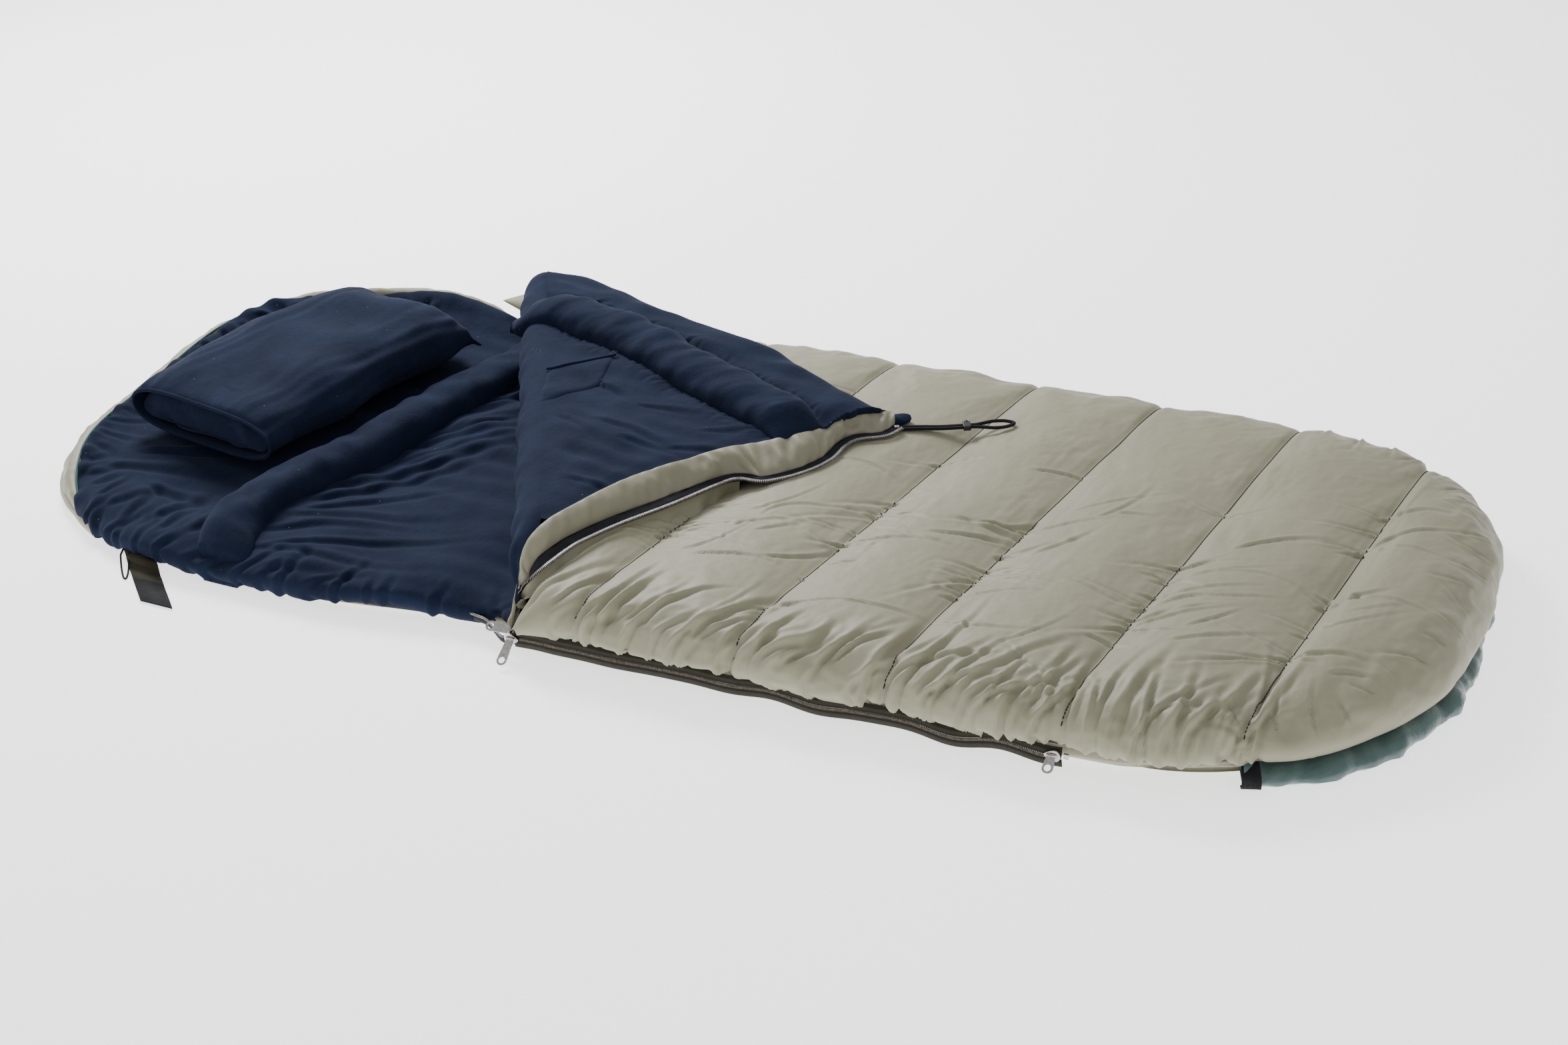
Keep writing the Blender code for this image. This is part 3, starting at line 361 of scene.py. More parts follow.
def number_range(nodes, links, value, low, high, start=0.0, end=1.0):
    node = nodes.new("ShaderNodeMapRange")
    node.inputs["From Min"].default_value = start
    node.inputs["From Max"].default_value = end
    node.inputs["To Min"].default_value = low
    node.inputs["To Max"].default_value = high
    links.new(value, node.inputs["Value"])
    return node.outputs["Result"]


def bump(nodes, links, shader, layers):
    """Chain bump layers of (height output, strength, distance) into the shader's normal."""
    normal = None
    for height, strength, distance in layers:
        node = nodes.new("ShaderNodeBump")
        node.inputs["Strength"].default_value = strength
        node.inputs["Distance"].default_value = distance
        links.new(height, node.inputs["Height"])
        if normal:
            links.new(normal, node.inputs["Normal"])
        normal = node.outputs["Normal"]
    links.new(normal, shader.inputs["Normal"])


def weave_height(nodes, links, coords, threads):
    """The height of a plain weave: bands along X and Y multiplied together."""
    heights = []
    for direction in ("X", "Y"):
        wave = nodes.new("ShaderNodeTexWave")
        wave.bands_direction = direction
        wave.inputs["Scale"].default_value = threads
        wave.inputs["Distortion"].default_value = 0.6
        wave.inputs["Detail"].default_value = 1.0
        links.new(coords, wave.inputs["Vector"])
        heights.append(wave.outputs["Fac"])
    product = nodes.new("ShaderNodeMath")
    product.operation = "MULTIPLY"
    links.new(heights[0], product.inputs[0])
    links.new(heights[1], product.inputs[1])
    return product.outputs["Value"]


def shell_fabric(name, dark, light, roughness=0.58, sheen=0.12, threads=330):
    """Peached polyester: a fine plain weave, soft cloudy shade and a faint crinkle."""
    material, nodes, links, shader, coords = new_material(name)
    cloud = noise_node(nodes, links, coords, 5.0, 4.0)
    links.new(ramp(nodes, links, cloud, [(0.30, dark), (0.70, light)]), shader.inputs["Base Color"])
    rough = noise_node(nodes, links, coords, 34.0, 3.0)
    links.new(number_range(nodes, links, rough, roughness - 0.08, roughness + 0.10), shader.inputs["Roughness"])
    shader.inputs["Sheen Weight"].default_value = sheen
    shader.inputs["Sheen Roughness"].default_value = 0.45
    crinkle = noise_node(nodes, links, coords, 60.0, 4.0, 0.6)
    bump(nodes, links, shader, [(crinkle, 0.22, 0.0035), (weave_height(nodes, links, coords, threads), 0.10, 0.0004)])
    return material


def fleece_fabric(name, dark, light):
    """Brushed fleece: fuzz, soft pile shading, and here and there a speck of lint."""
    material, nodes, links, shader, coords = new_material(name)
    cloud = noise_node(nodes, links, coords, 16.0, 6.0, 0.65)
    pile = ramp(nodes, links, cloud, [(0.30, dark), (0.72, light)])
    lint = nodes.new("ShaderNodeTexVoronoi")
    lint.inputs["Scale"].default_value = 95.0
    links.new(coords, lint.inputs["Vector"])
    speck = number_range(nodes, links, lint.outputs["Distance"], 1.0, 0.0, 0.035, 0.075)
    rare = number_range(nodes, links, noise_node(nodes, links, coords, 41.0, 1.0), 0.0, 1.0, 0.66, 0.70)
    both = nodes.new("ShaderNodeMath")
    both.operation = "MULTIPLY"
    links.new(speck, both.inputs[0])
    links.new(rare, both.inputs[1])
    mix = nodes.new("ShaderNodeMix")
    mix.data_type = "RGBA"
    links.new(both.outputs["Value"], mix.inputs["Factor"])
    links.new(pile, mix.inputs["A"])
    mix.inputs["B"].default_value = (0.30, 0.34, 0.42, 1)
    links.new(mix.outputs["Result"], shader.inputs["Base Color"])
    fuzz = noise_node(nodes, links, coords, 420.0, 3.0, 0.7)
    links.new(number_range(nodes, links, fuzz, 0.85, 1.0), shader.inputs["Roughness"])
    shader.inputs["Sheen Weight"].default_value = 0.055
    shader.inputs["Sheen Roughness"].default_value = 0.5
    shader.inputs["Sheen Tint"].default_value = (0.45, 0.55, 0.85, 1)
    shader.inputs["Specular IOR Level"].default_value = 0.12
    soft = noise_node(nodes, links, coords, 90.0, 3.0)
    bump(nodes, links, shader, [(soft, 0.30, 0.0030), (fuzz, 0.45, 0.0012)])
    return material


def nylon_fabric(name, dark, light):
    """Slippery coated nylon with a crisp crinkle."""
    material, nodes, links, shader, coords = new_material(name)
    cloud = noise_node(nodes, links, coords, 22.0, 5.0)
    links.new(ramp(nodes, links, cloud, [(0.3, dark), (0.7, light)]), shader.inputs["Base Color"])
    rough = noise_node(nodes, links, coords, 70.0, 2.0)
    links.new(number_range(nodes, links, rough, 0.26, 0.42), shader.inputs["Roughness"])
    shader.inputs["Sheen Weight"].default_value = 0.3
    crinkle = noise_node(nodes, links, coords, 42.0, 5.0, 0.6)
    bump(nodes, links, shader, [(crinkle, 0.5, 0.006), (weave_height(nodes, links, coords, 300), 0.08, 0.0004)])
    return material


def woven_tape(name, dark, light, ribs=220, sheen=0.1):
    """A ribbed woven tape, such as a zip's or a webbing's."""
    material, nodes, links, shader, coords = new_material(name)
    weave = weave_height(nodes, links, coords, ribs)
    links.new(ramp(nodes, links, weave, [(0.05, dark), (0.8, light)]), shader.inputs["Base Color"])
    worn = noise_node(nodes, links, coords, 80.0, 4.0)
    links.new(number_range(nodes, links, worn, 0.65, 0.95), shader.inputs["Roughness"])
    shader.inputs["Sheen Weight"].default_value = sheen
    shader.inputs["Specular IOR Level"].default_value = 0.3
    bump(nodes, links, shader, [(weave, 0.6, 0.0008), (worn, 0.2, 0.001)])
    return material


def worn_metal(name, dark, light, roughness):
    material, nodes, links, shader, coords = new_material(name)
    tarnish = noise_node(nodes, links, coords, 320.0, 4.0)
    links.new(ramp(nodes, links, tarnish, [(0.3, dark), (0.7, light)]), shader.inputs["Base Color"])
    scratches = noise_node(nodes, links, stretched(nodes, links, coords, (900, 140, 900)), 1.0, 3.0)
    links.new(number_range(nodes, links, scratches, roughness - 0.08, roughness + 0.14), shader.inputs["Roughness"])
    shader.inputs["Metallic"].default_value = 1.0
    bump(nodes, links, shader, [(scratches, 0.12, 0.0002)])
    return material


def moulded_plastic(name, dark, light):
    material, nodes, links, shader, coords = new_material(name)
    grain = noise_node(nodes, links, coords, 600.0, 2.0)
    links.new(ramp(nodes, links, grain, [(0.3, dark), (0.7, light)]), shader.inputs["Base Color"])
    links.new(number_range(nodes, links, grain, 0.38, 0.55), shader.inputs["Roughness"])
    bump(nodes, links, shader, [(grain, 0.25, 0.0003)])
    return material


OLIVE = shell_fabric("olive_shell", (0.268, 0.256, 0.172), (0.312, 0.300, 0.208))
OLIVE_DARK = shell_fabric("olive_guard", (0.225, 0.212, 0.145), (0.275, 0.262, 0.185), 0.5)
FLEECE = fleece_fabric("navy_fleece", (0.0047, 0.0086, 0.0232), (0.0092, 0.0163, 0.0420))
TEAL = nylon_fabric("teal_nylon", (0.040, 0.085, 0.080), (0.065, 0.125, 0.118))
TEAL_BINDING = woven_tape("teal_binding", (0.010, 0.080, 0.075), (0.030, 0.150, 0.140))
TAPE_NAVY = woven_tape("tape_navy", (0.002, 0.0035, 0.007), (0.014, 0.020, 0.034), 220, 0.05)
TAPE_OLIVE = woven_tape("tape_olive", (0.013, 0.0115, 0.006), (0.038, 0.034, 0.019), 220, 0.03)
# Near-black thread for the cover's seams: partly the real stitching's colour, partly painted shade of the pinched
# seam valleys.
THREAD_AND_SEAM_SHADE = woven_tape("olive_thread", (0.012, 0.011, 0.006), (0.040, 0.037, 0.022), 900)
BLACK_WEB = woven_tape("black_webbing", (0.002, 0.0025, 0.004), (0.010, 0.011, 0.015), 260, 0.04)
OLIVE_WEB = woven_tape("olive_webbing", (0.030, 0.028, 0.013), (0.062, 0.058, 0.032), 260, 0.05)
SILVER = worn_metal("zip_silver", (0.36, 0.34, 0.33), (0.62, 0.60, 0.58), 0.26)
TEETH = worn_metal("zip_teeth_silver", (0.17, 0.165, 0.16), (0.40, 0.385, 0.365), 0.50)
BRONZE = worn_metal("zip_bronze", (0.040, 0.035, 0.026), (0.125, 0.110, 0.088), 0.42)
PLASTIC = moulded_plastic("black_plastic", (0.006, 0.007, 0.009), (0.014, 0.015, 0.018))


def finish_piece(obj, material, body, slot, *nodes, blend=None):
    """Give a piece its material, what it rides on, and the CAD nodes it stands for."""
    obj.data.materials.clear()
    obj.data.materials.append(material)
    if blend:
        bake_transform(obj)
    else:
        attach(obj, body)
    if nodes:
        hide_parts(*nodes)
    return obj


# --- cloth ---------------------------------------------------------------------------------------------------

def weight_group(obj, name, weights):
    group = obj.vertex_groups.new(name=name)
    for number in np.nonzero(weights > 0.001)[0]:
        group.add([int(number)], float(weights[number]), "REPLACE")
    return group.name


def settle_cloth(obj, pinned, growth, pressure, frames, bending, cap):
    """Inflate a fabric that is held at its pinned points and has grown by a share at every other point.

    The cloth swells and wrinkles as too much fabric does between seams. No point ends further than cap from
    where it began.
    """
    start = coordinates(obj)
    most = float(growth.max())
    cloth = obj.modifiers.new("cloth", "CLOTH")
    settings = cloth.settings
    settings.quality = 4
    settings.mass = 0.15
    settings.air_damping = 2.0
    settings.tension_stiffness = 12.0
    settings.compression_stiffness = 12.0
    settings.shear_stiffness = 6.0
    settings.bending_stiffness = bending
    settings.tension_damping = 8.0
    settings.compression_damping = 8.0
    settings.shear_damping = 8.0
    settings.bending_damping = 2.0
    settings.vertex_group_mass = weight_group(obj, "pinned", pinned.astype(float))
    settings.vertex_group_shrink = weight_group(obj, "growth", growth / most)
    settings.shrink_min = 0.0
    settings.shrink_max = -most
    settings.use_pressure = True
    settings.uniform_pressure_force = pressure
    settings.effector_weights.gravity = 0.0
    cloth.collision_settings.use_collision = False
    cloth.point_cache.frame_start = 1
    cloth.point_cache.frame_end = frames
    scene = bpy.context.scene
    for number in range(1, frames + 1):
        scene.frame_set(number)
    evaluated = obj.evaluated_get(bpy.context.evaluated_depsgraph_get())
    flat = np.empty(len(obj.data.vertices) * 3, np.float32)
    evaluated.data.vertices.foreach_get("co", flat)
    moved = flat.reshape(-1, 3).astype(float) - start
    obj.modifiers.clear()
    obj.vertex_groups.clear()
    scene.frame_set(1)
    length = np.linalg.norm(moved, axis=1)[:, None].clip(1e-9)
    moved *= cap * np.tanh(length / cap) / length
    set_coordinates(obj, start + moved)


# --- creases -------------------------------------------------------------------------------------------------

def press_creases(places, directions, creases):
    """Move points along their directions by a set of tapered folds.

    A crease is (start, heading, length, width, depth, bend): a valley that starts at full depth and runs out to a
    point, with a small ridge beside it.
    """
    shift = np.zeros(len(places))
    for start, heading, length, width, depth, bend in creases:
        heading = heading / np.linalg.norm(heading)
        offset = places - start
        near = np.abs(offset).max(axis=1) < length * 1.15
        local = offset[near]
        along = local @ heading
        sideways = np.array([-heading[1], heading[0], 0.0])
        across = local @ sideways - bend * along * along / length
        reach = np.clip(along / length, -0.2, 1.0)
        taper = np.where(reach < 0, smooth(-0.2, 0.0, reach), (1 - smooth(0.15, 1.0, reach)))
        spread = width * (0.55 + 0.6 * np.clip(reach, 0, 1))
        valley = -np.exp(-(across / spread) ** 2)
        ridge = 0.75 * np.exp(-((across - 1.9 * spread) / (1.1 * spread)) ** 2)
        shift[near] += depth * taper * (valley + ridge)
    return places + directions * shift[:, None]


# --- the cover -----------------------------------------------------------------------------------------------

COVER_SECTION = profile([(0.010, 0.0385), (-0.002, 0.0400), (-0.008, 0.052), (-0.006, 0.070), (0.008, 0.090),
                         (0.038, 0.1045), (0.10, 0.1085)])


CORNER_X = -0.1215      # where the cover ends beside the main slider


def seam_slant(x):
    return SEAM_SLANT_HEAD + (SEAM_SLANT_FOOT - SEAM_SLANT_HEAD) * smooth(0.2, 0.95, x)


def cover_columns(cell):
    """Positions of the grid's columns at mid-width, with a column on every seam, and their seam numbers."""
    stops = [-0.62, *SEAMS, HALF_LENGTH + 0.06]
    columns, seam_columns = [], []
    for start, stop in zip(stops, stops[1:]):
        steps = max(2, round((stop - start) / cell))
        columns += list(np.linspace(start, stop, steps, endpoint=False))
        seam_columns.append(len(columns))
    columns.append(stops[-1])
    return np.array(columns), seam_columns[:-1]


def channel_puff(x):
    """0 on a seam and 1 in the middle of a channel."""
    stops = np.array([-0.66, *SEAMS, HALF_LENGTH + 0.20])
    number = np.clip(np.searchsorted(stops, x, side="right") - 1, 0, len(stops) - 2)
    share = (x - stops[number]) / (stops[number + 1] - stops[number])
    return np.sin(math.pi * np.clip(share, 0, 1)) ** 0.45


def cover_creases(rng):
    """Folds that cross the seams, and gathers along the zip and round the foot."""
    creases = []

    def add(x, y, z, degrees, length, width, depth, bend):
        angle = math.radians(degrees)
        heading = np.array([math.cos(angle), math.sin(angle), 0.0])
        creases.append((np.array([x, y, z]), heading, length, width, depth, bend))

    for seam in SEAMS[2:]:
        spots = np.concatenate([rng.normal(-0.17, 0.07, 9), rng.uniform(-0.40, 0.30, 5)])
        for y in spots:
            x = seam + seam_slant(seam) * y
            for back in (0, 180):
                if rng.random() < 0.35:
                    continue
                add(x, y, COVER_TOP - 0.01, back + rng.normal(14, 16), rng.uniform(0.05, 0.20),
                    rng.uniform(0.0032, 0.0050), rng.uniform(0.0015, 0.0040), rng.normal(0, 0.15))
    for _ in range(46):
        add(rng.uniform(0.05, 1.0), rng.normal(-0.16, 0.12), COVER_TOP - 0.01, rng.normal(15, 25),
            rng.uniform(0.05, 0.16), rng.uniform(0.003, 0.005), rng.uniform(0.0015, 0.0032), rng.normal(0, 0.35))
    for x in np.arange(-0.09, 0.98, 0.017):
        x += rng.uniform(-0.008, 0.008)
        edge = OUTLINE[nearest_edge(np.array([[x, -HALF_WIDTH]]))[0][0]]
        lean = 48 + 34 * float(smooth(0.45, 0.75, x)) + rng.normal(0, 13)
        add(edge[0], edge[1] + rng.uniform(-0.03, 0.02), 0.070, lean, rng.uniform(0.09, 0.22),
            rng.uniform(0.004, 0.0075), rng.uniform(0.003, 0.0065), rng.normal(0, 0.2))
    for number in np.nonzero(OUTLINE[:, 0] > 0.80)[0][::34]:
        edge = OUTLINE[number] + INWARD[number] * rng.uniform(0.0, 0.02)
        lean = math.degrees(math.atan2(INWARD[number][1], INWARD[number][0])) + rng.normal(0, 18)
        add(*edge, 0.080, lean, rng.uniform(0.03, 0.09), rng.uniform(0.003, 0.005), rng.uniform(0.0015, 0.004),
            rng.normal(0, 0.2))
    return creases


def stitch_dashes(name, obj, lines, pitch, length, radius, material, body, slot):
    """Rows of thread stitches lying on a fabric piece along the given plan lines. On the cover they are dark and
    nearly continuous, so they are real stitching and painted seam shade at once.
    """
    tree = BVHTree.FromObject(obj, bpy.context.evaluated_depsgraph_get())
    vertices, faces = [], []
    for line in lines:
        count = int(np.linalg.norm(np.diff(line, axis=0), axis=1).sum() / pitch)
        for start, stop in zip(resample(line, count), resample(line, count)[1:]):
            middle = (start + stop) / 2
            ahead = (stop - start) / np.linalg.norm(stop - start)
            hit, normal, _, _ = tree.ray_cast(Vector((*middle, 0.30)), Vector((0, 0, -1)))
            if hit is None or hit.z < 0.05:
                continue
            nose, _, _, _ = tree.ray_cast(Vector((*(middle + ahead * length / 2), 0.30)), Vector((0, 0, -1)))
            if nose is None or abs(nose.z - hit.z) > length:
                continue
            along = np.array(nose - hit) * 2
            up = np.array(normal)
            side = np.cross(along, up)
            side /= np.linalg.norm(side)
            first = len(vertices)
            for share, swell in ((-0.5, 0.4), (-0.25, 1.0), (0.25, 1.0), (0.5, 0.4)):
                for angle in np.radians([0, 60, 120, 180, 240, 300]):
                    vertices.append(np.array(hit) + along * share + up * radius * (0.2 + math.sin(angle) * swell)
                                    + side * radius * math.cos(angle) * swell)
            faces += (grid_faces(4, 6, wrap=True) + first).tolist()
            faces += [[first + k for k in range(5, -1, -1)], [first + 18 + k for k in range(6)]]
    stitches = mesh_object(name, vertices, faces)
    return finish_piece(stitches, material, body, slot)


def build_cover():
    columns, seam_columns = cover_columns(CELL)
    rows = np.arange(-HALF_WIDTH - 0.06, HALF_WIDTH + 0.06 + CELL, CELL)
    y, x = np.meshgrid(rows, columns, indexing="ij")
    plan = np.column_stack([(x + seam_slant(x) * y).ravel(), y.ravel()])
    places, along, keep = wrap_over_edge(plan, COVER_SECTION, CELL)
    across = fold_coordinates(places)[1]
    corner = (places[:, 1] < FOLD_START[1] + 0.01) & (places[:, 0] > CORNER_X - CELL * 0.5)
    keep &= (across > -CELL * 0.75) | corner
    into = np.clip((places[:, 0] - CORNER_X) / 0.045, 0, 1)
    rounded = np.sqrt(1 - (1 - into) ** 2)
    falling = smooth(-0.30, -0.36, places[:, 1])
    places[:, 2] = 0.040 + (places[:, 2] - 0.040) * (1 - falling * (1 - rounded))
    faces = grid_faces(len(rows), len(columns))
    obj, used = kept_mesh("cover_quilt", places, faces, keep)
    face_up(obj)
    x = x.ravel()[used]
    y = y.ravel()[used]
    along = along[used]
    base = coordinates(obj)
    out = normals(obj)
    puff = channel_puff(x)
    fade = smooth(0.0, 0.035, along)
    deep = 0.015 - 0.005 * smooth(-0.10, 0.25, y)
    height = (puff - 1.0) * deep * (0.35 + 0.65 * fade) + 0.010 * fade
    height += 0.0022 * ripple(base, 0.16, 11) * fade * puff + 0.0011 * ripple(base, 0.055, 12) * fade * puff
    seam_distance = np.min([np.abs(x - seam) for seam in SEAMS], axis=0)
    height -= 0.004 * hump(seam_distance, 0.0, 0.004) * (0.4 + 0.6 * fade)
    set_coordinates(obj, base + out * height[:, None])
    near = smooth(0.15, 0.03, along) * smooth(0.0, -0.1, y)
    foot = smooth(0.09, 0.02, along) * smooth(0.85, 1.0, x)
    middle = hump(y, -0.15 + 0.05 * np.sin(7 * x), 0.11)
    growth = 0.025 + 0.13 * near + 0.07 * foot + 0.06 * middle
    pinned = (seam_distance < 1e-4) | (along < 1e-6) | (fold_coordinates(base)[1] < CELL)
    growth *= 1 - 0.5 * smooth(-0.05, 0.20, y)
    settle_cloth(obj, pinned, growth, pressure=0.8, frames=24, bending=0.01, cap=0.024)
    subdivide(obj)
    places = coordinates(obj)
    places = press_creases(places, normals(obj), cover_creases(np.random.default_rng(5)))
    set_coordinates(obj, places)
    finish_piece(obj, OLIVE, "root", "olive_shell", "cover_shell", "cover_fill")
    lines = []
    for seam in SEAMS:
        y = np.linspace(-HALF_WIDTH, HALF_WIDTH, 200)
        lines.append(np.column_stack([seam + seam_slant(seam) * y, y]))
    # Thick, nearly continuous dark stitch tubes: the real seam stitching, widened and darkened to paint the shade
    # along each seam valley.
    stitch_dashes("cover_stitching", obj, lines, 0.0046, 0.0040, 0.0010, THREAD_AND_SEAM_SHADE, "root", "tape_olive")


# --- the base ------------------------------------------------------------------------------------------------

LINING_SECTION = profile([(0.022, 0.030), (0.012, 0.034), (0.012, 0.042), (0.030, 0.050), (0.075, 0.054),
                          (0.13, 0.0545)])
ROLLED_SECTION = profile([(0.020, 0.0085), (0.006, 0.0120), (-0.001, 0.0240), (0.004, 0.038), (0.030, 0.050),
                          (0.075, 0.054), (0.13, 0.0545)])


def rim_lift(plan):
    """Extra height of the head end's padded rim, highest at its far corner."""
    x, y = plan[:, 0], plan[:, 1]
    far = smooth(-0.05, 0.40, y) * smooth(-0.50, -0.78, x)
    return 0.062 * far + 0.012 * smooth(-0.95, -1.10, x)


def head_bulge(x, y):
    """1 round the head's far left, where the olive side bulges out beyond the rim."""
    return smooth(-0.97, -1.08, x) * smooth(0.30, 0.10, y)


def lining_creases(rng):
    """Long soft folds that fan out from the neck roll, and puckers along the near edge and the head's rim."""
    creases = []
    for y in np.arange(-0.43, 0.30, 0.032):
        y += rng.normal(0, 0.006)
        angle = math.radians(6 + 42 * float(smooth(-0.44, -0.15, y)) + rng.normal(0, 5))
        x = -0.60 + 0.10 * float(smooth(-0.30, 0.20, y)) + rng.uniform(-0.01, 0.05)
        heading = np.array([math.cos(angle), math.sin(angle), 0.0])
        creases.append((np.array([x, y, 0.054]), heading, rng.uniform(0.16, 0.38), rng.uniform(0.008, 0.013),
                        rng.uniform(0.0022, 0.0048), rng.normal(0.05, 0.10)))
    for x in np.arange(-0.98, -0.16, 0.045):
        x += rng.uniform(-0.015, 0.015)
        edge = OUTLINE[nearest_edge(np.array([[x, -HALF_WIDTH]]))[0][0]]
        angle = math.radians(rng.normal(55, 25))
        heading = np.array([math.cos(angle), math.sin(angle), 0.0])
        creases.append((np.array([*edge, 0.040]), heading, rng.uniform(0.05, 0.13), rng.uniform(0.006, 0.010),
                        rng.uniform(0.002, 0.0045), rng.normal(0, 0.2)))
    for number in np.nonzero(OUTLINE[:, 0] < -0.78)[0][::30]:
        turn = rng.normal(0, 0.35)
        inward = INWARD[number]
        heading = np.array([inward[0] * math.cos(turn) - inward[1] * math.sin(turn),
                            inward[0] * math.sin(turn) + inward[1] * math.cos(turn), 0.0])
        start = np.array([*(OUTLINE[number] + inward * 0.045), 0.055])
        creases.append((start, heading, rng.uniform(0.05, 0.14), rng.uniform(0.007, 0.012),
                        rng.uniform(0.002, 0.0045), rng.normal(0, 0.25)))
    for x, y, degrees, length in ((-0.93, -0.20, 20, 0.22), (-0.96, -0.26, 5, 0.24), (-0.86, -0.30, -10, 0.16),
                                  (-0.80, -0.36, 60, 0.12), (-0.72, -0.38, 75, 0.14)):
        angle = math.radians(degrees)
        heading = np.array([math.cos(angle), math.sin(angle), 0.0])
        creases.append((np.array([x, y, 0.054]), heading, length, 0.013, 0.0050, 0.15))
    return creases


def build_base_lining():
    rows = np.arange(-HALF_WIDTH - 0.03, HALF_WIDTH + 0.03 + CELL, CELL)
    columns = np.arange(-HALF_LENGTH - 0.03, 0.12, CELL)
    y, x = np.meshgrid(rows, columns, indexing="ij")
    plan = np.column_stack([x.ravel(), y.ravel()])
    places, along, keep = wrap_over_edge(plan, LINING_SECTION, CELL)
    rolled, rolled_along, rolled_keep = wrap_over_edge(plan, ROLLED_SECTION, CELL)
    over = (smooth(-0.145, -0.215, plan[:, 0]) * smooth(-1.06, -0.98, plan[:, 0])
            * smooth(-0.20, -0.30, plan[:, 1]))[:, None]
    places = places * (1 - over) + rolled * over
    keep = np.where(over[:, 0] > 0.5, rolled_keep, keep)
    along = np.where(over[:, 0] > 0.5, rolled_along, along)
    places[:, 1] += WAIST * waist_share(places[:, 0]) * smooth(-0.30, -0.45, places[:, 1])
    found, _ = nearest_edge(plan)
    bulge = head_bulge(places[:, 0], places[:, 1]) * np.exp(-(along / 0.06) ** 2)
    places[:, :2] += INWARD[found] * (0.016 * bulge)[:, None]
    places[:, 2] += 0.013 * bulge
    obj, used = kept_mesh("base_lining_fleece", places, grid_faces(len(rows), len(columns)), keep)
    face_up(obj)
    along = along[used]
    base = coordinates(obj)
    edge = np.exp(-(along / 0.060) ** 2)
    base[:, 2] += rim_lift(base) * np.exp(-(along / 0.085) ** 2)
    head = smooth(-0.80, -1.0, base[:, 0])
    lengthwise = ripple(base, 0.045, 21, stretch=(0.22, 1.0, 1.0))
    height = 0.0014 * lengthwise * smooth(0.0, 0.05, along) + 0.004 * ripple(base, 0.20, 22)
    height += 0.0022 * ripple(base, 0.040, 23) * edge * (0.25 + head)
    set_coordinates(obj, base + np.array([0, 0, 1.0]) * height[:, None])
    subdivide(obj)
    creases = lining_creases(np.random.default_rng(4))
    set_coordinates(obj, press_creases(coordinates(obj), normals(obj), creases))
    finish_piece(obj, FLEECE, "root", "navy_fleece", "base_lining", "base_fill")


def edge_sweep(name, start, stop, section_at, steps_along, steps_round):
    """Sweep an edge section round part of the outline. section_at gives its (inset, height) points."""
    numbers = np.arange(start, stop, steps_along)
    rows = []
    for number in numbers:
        number = int(number) % len(OUTLINE)
        section = spline(section_at(number), steps_round)
        plan = OUTLINE[number] + section[:, :1] * INWARD[number]
        rows.append(np.column_stack([plan, section[:, 1]]))
    whole = stop - start >= len(OUTLINE)
    if whole:
        rows.append(rows[0])
    vertices = np.array(rows).reshape(-1, 3)
    obj = mesh_object(name, vertices, grid_faces(len(rows), steps_round))
    bm = bmesh.new()
    bm.from_mesh(obj.data)
    if whole:
        bmesh.ops.remove_doubles(bm, verts=bm.verts, dist=1e-6)
    bmesh.ops.recalc_face_normals(bm, faces=bm.faces)
    bm.to_mesh(obj.data)
    bm.free()
    return obj


def build_base_shell():
    """The olive outside of the base: its rounded side, its turn-in under the lining and its flat bottom."""
    def section(number):
        x, y = OUTLINE[number]
        lift = float(rim_lift(np.array([[x, y]]))[0])
        bulge = float(head_bulge(x, y))
        far = float(smooth(0.20, 0.36, y) * smooth(-0.55, -0.75, x))
        near = float(smooth(-0.97, -0.90, x) * smooth(-0.20, -0.30, y))
        foot = float(smooth(0.74, 0.82, x))
        tuck = 0.023 * near + 0.012 * foot
        rim_z = 0.034 + 0.012 * bulge + 0.010 * far + lift * 0.97
        rim_z = rim_z * (1 - 0.62 * near * float(smooth(-0.14, -0.22, x)))
        rim_inset = 0.011 + 0.014 * bulge + 0.004 * far
        return [(rim_inset + 0.008 + tuck, rim_z - 0.014), (rim_inset + tuck, rim_z),
                (rim_inset * 0.35 + tuck, rim_z - 0.001), (0.001 + tuck - 0.006 * bulge, rim_z * 0.62),
                (0.001 + tuck - 0.006 * bulge, rim_z * 0.40), (0.014 + tuck, 0.0025), (0.045, 0.0006),
                (0.12, 0.0006)]

    obj = edge_sweep("base_shell_fabric", 0, len(OUTLINE), section, 5, 26)
    bm = bmesh.new()
    bm.from_mesh(obj.data)
    inner = [edge for edge in bm.edges if edge.is_boundary and edge.verts[0].co.z < 0.002]
    bmesh.ops.contextual_create(bm, geom=inner)
    bmesh.ops.recalc_face_normals(bm, faces=bm.faces)
    bm.to_mesh(obj.data)
    bm.free()
    places = coordinates(obj)
    places[:, 1] += WAIST * waist_share(places[:, 0]) * smooth(-0.30, -0.45, places[:, 1])
    set_coordinates(obj, places)
    side = smooth(0.003, 0.02, places[:, 2])
    shift = 0.0012 * ripple(places, 0.06, 31) * side + 0.0004 * ripple(places, 0.020, 32) * side
    set_coordinates(obj, places + normals(obj) * shift[:, None])
    finish_piece(obj, OLIVE, "root", "olive_shell", "base_shell")


# --- the turned-back flap, in fold coordinates (along the fold, across it) and height --------------------------

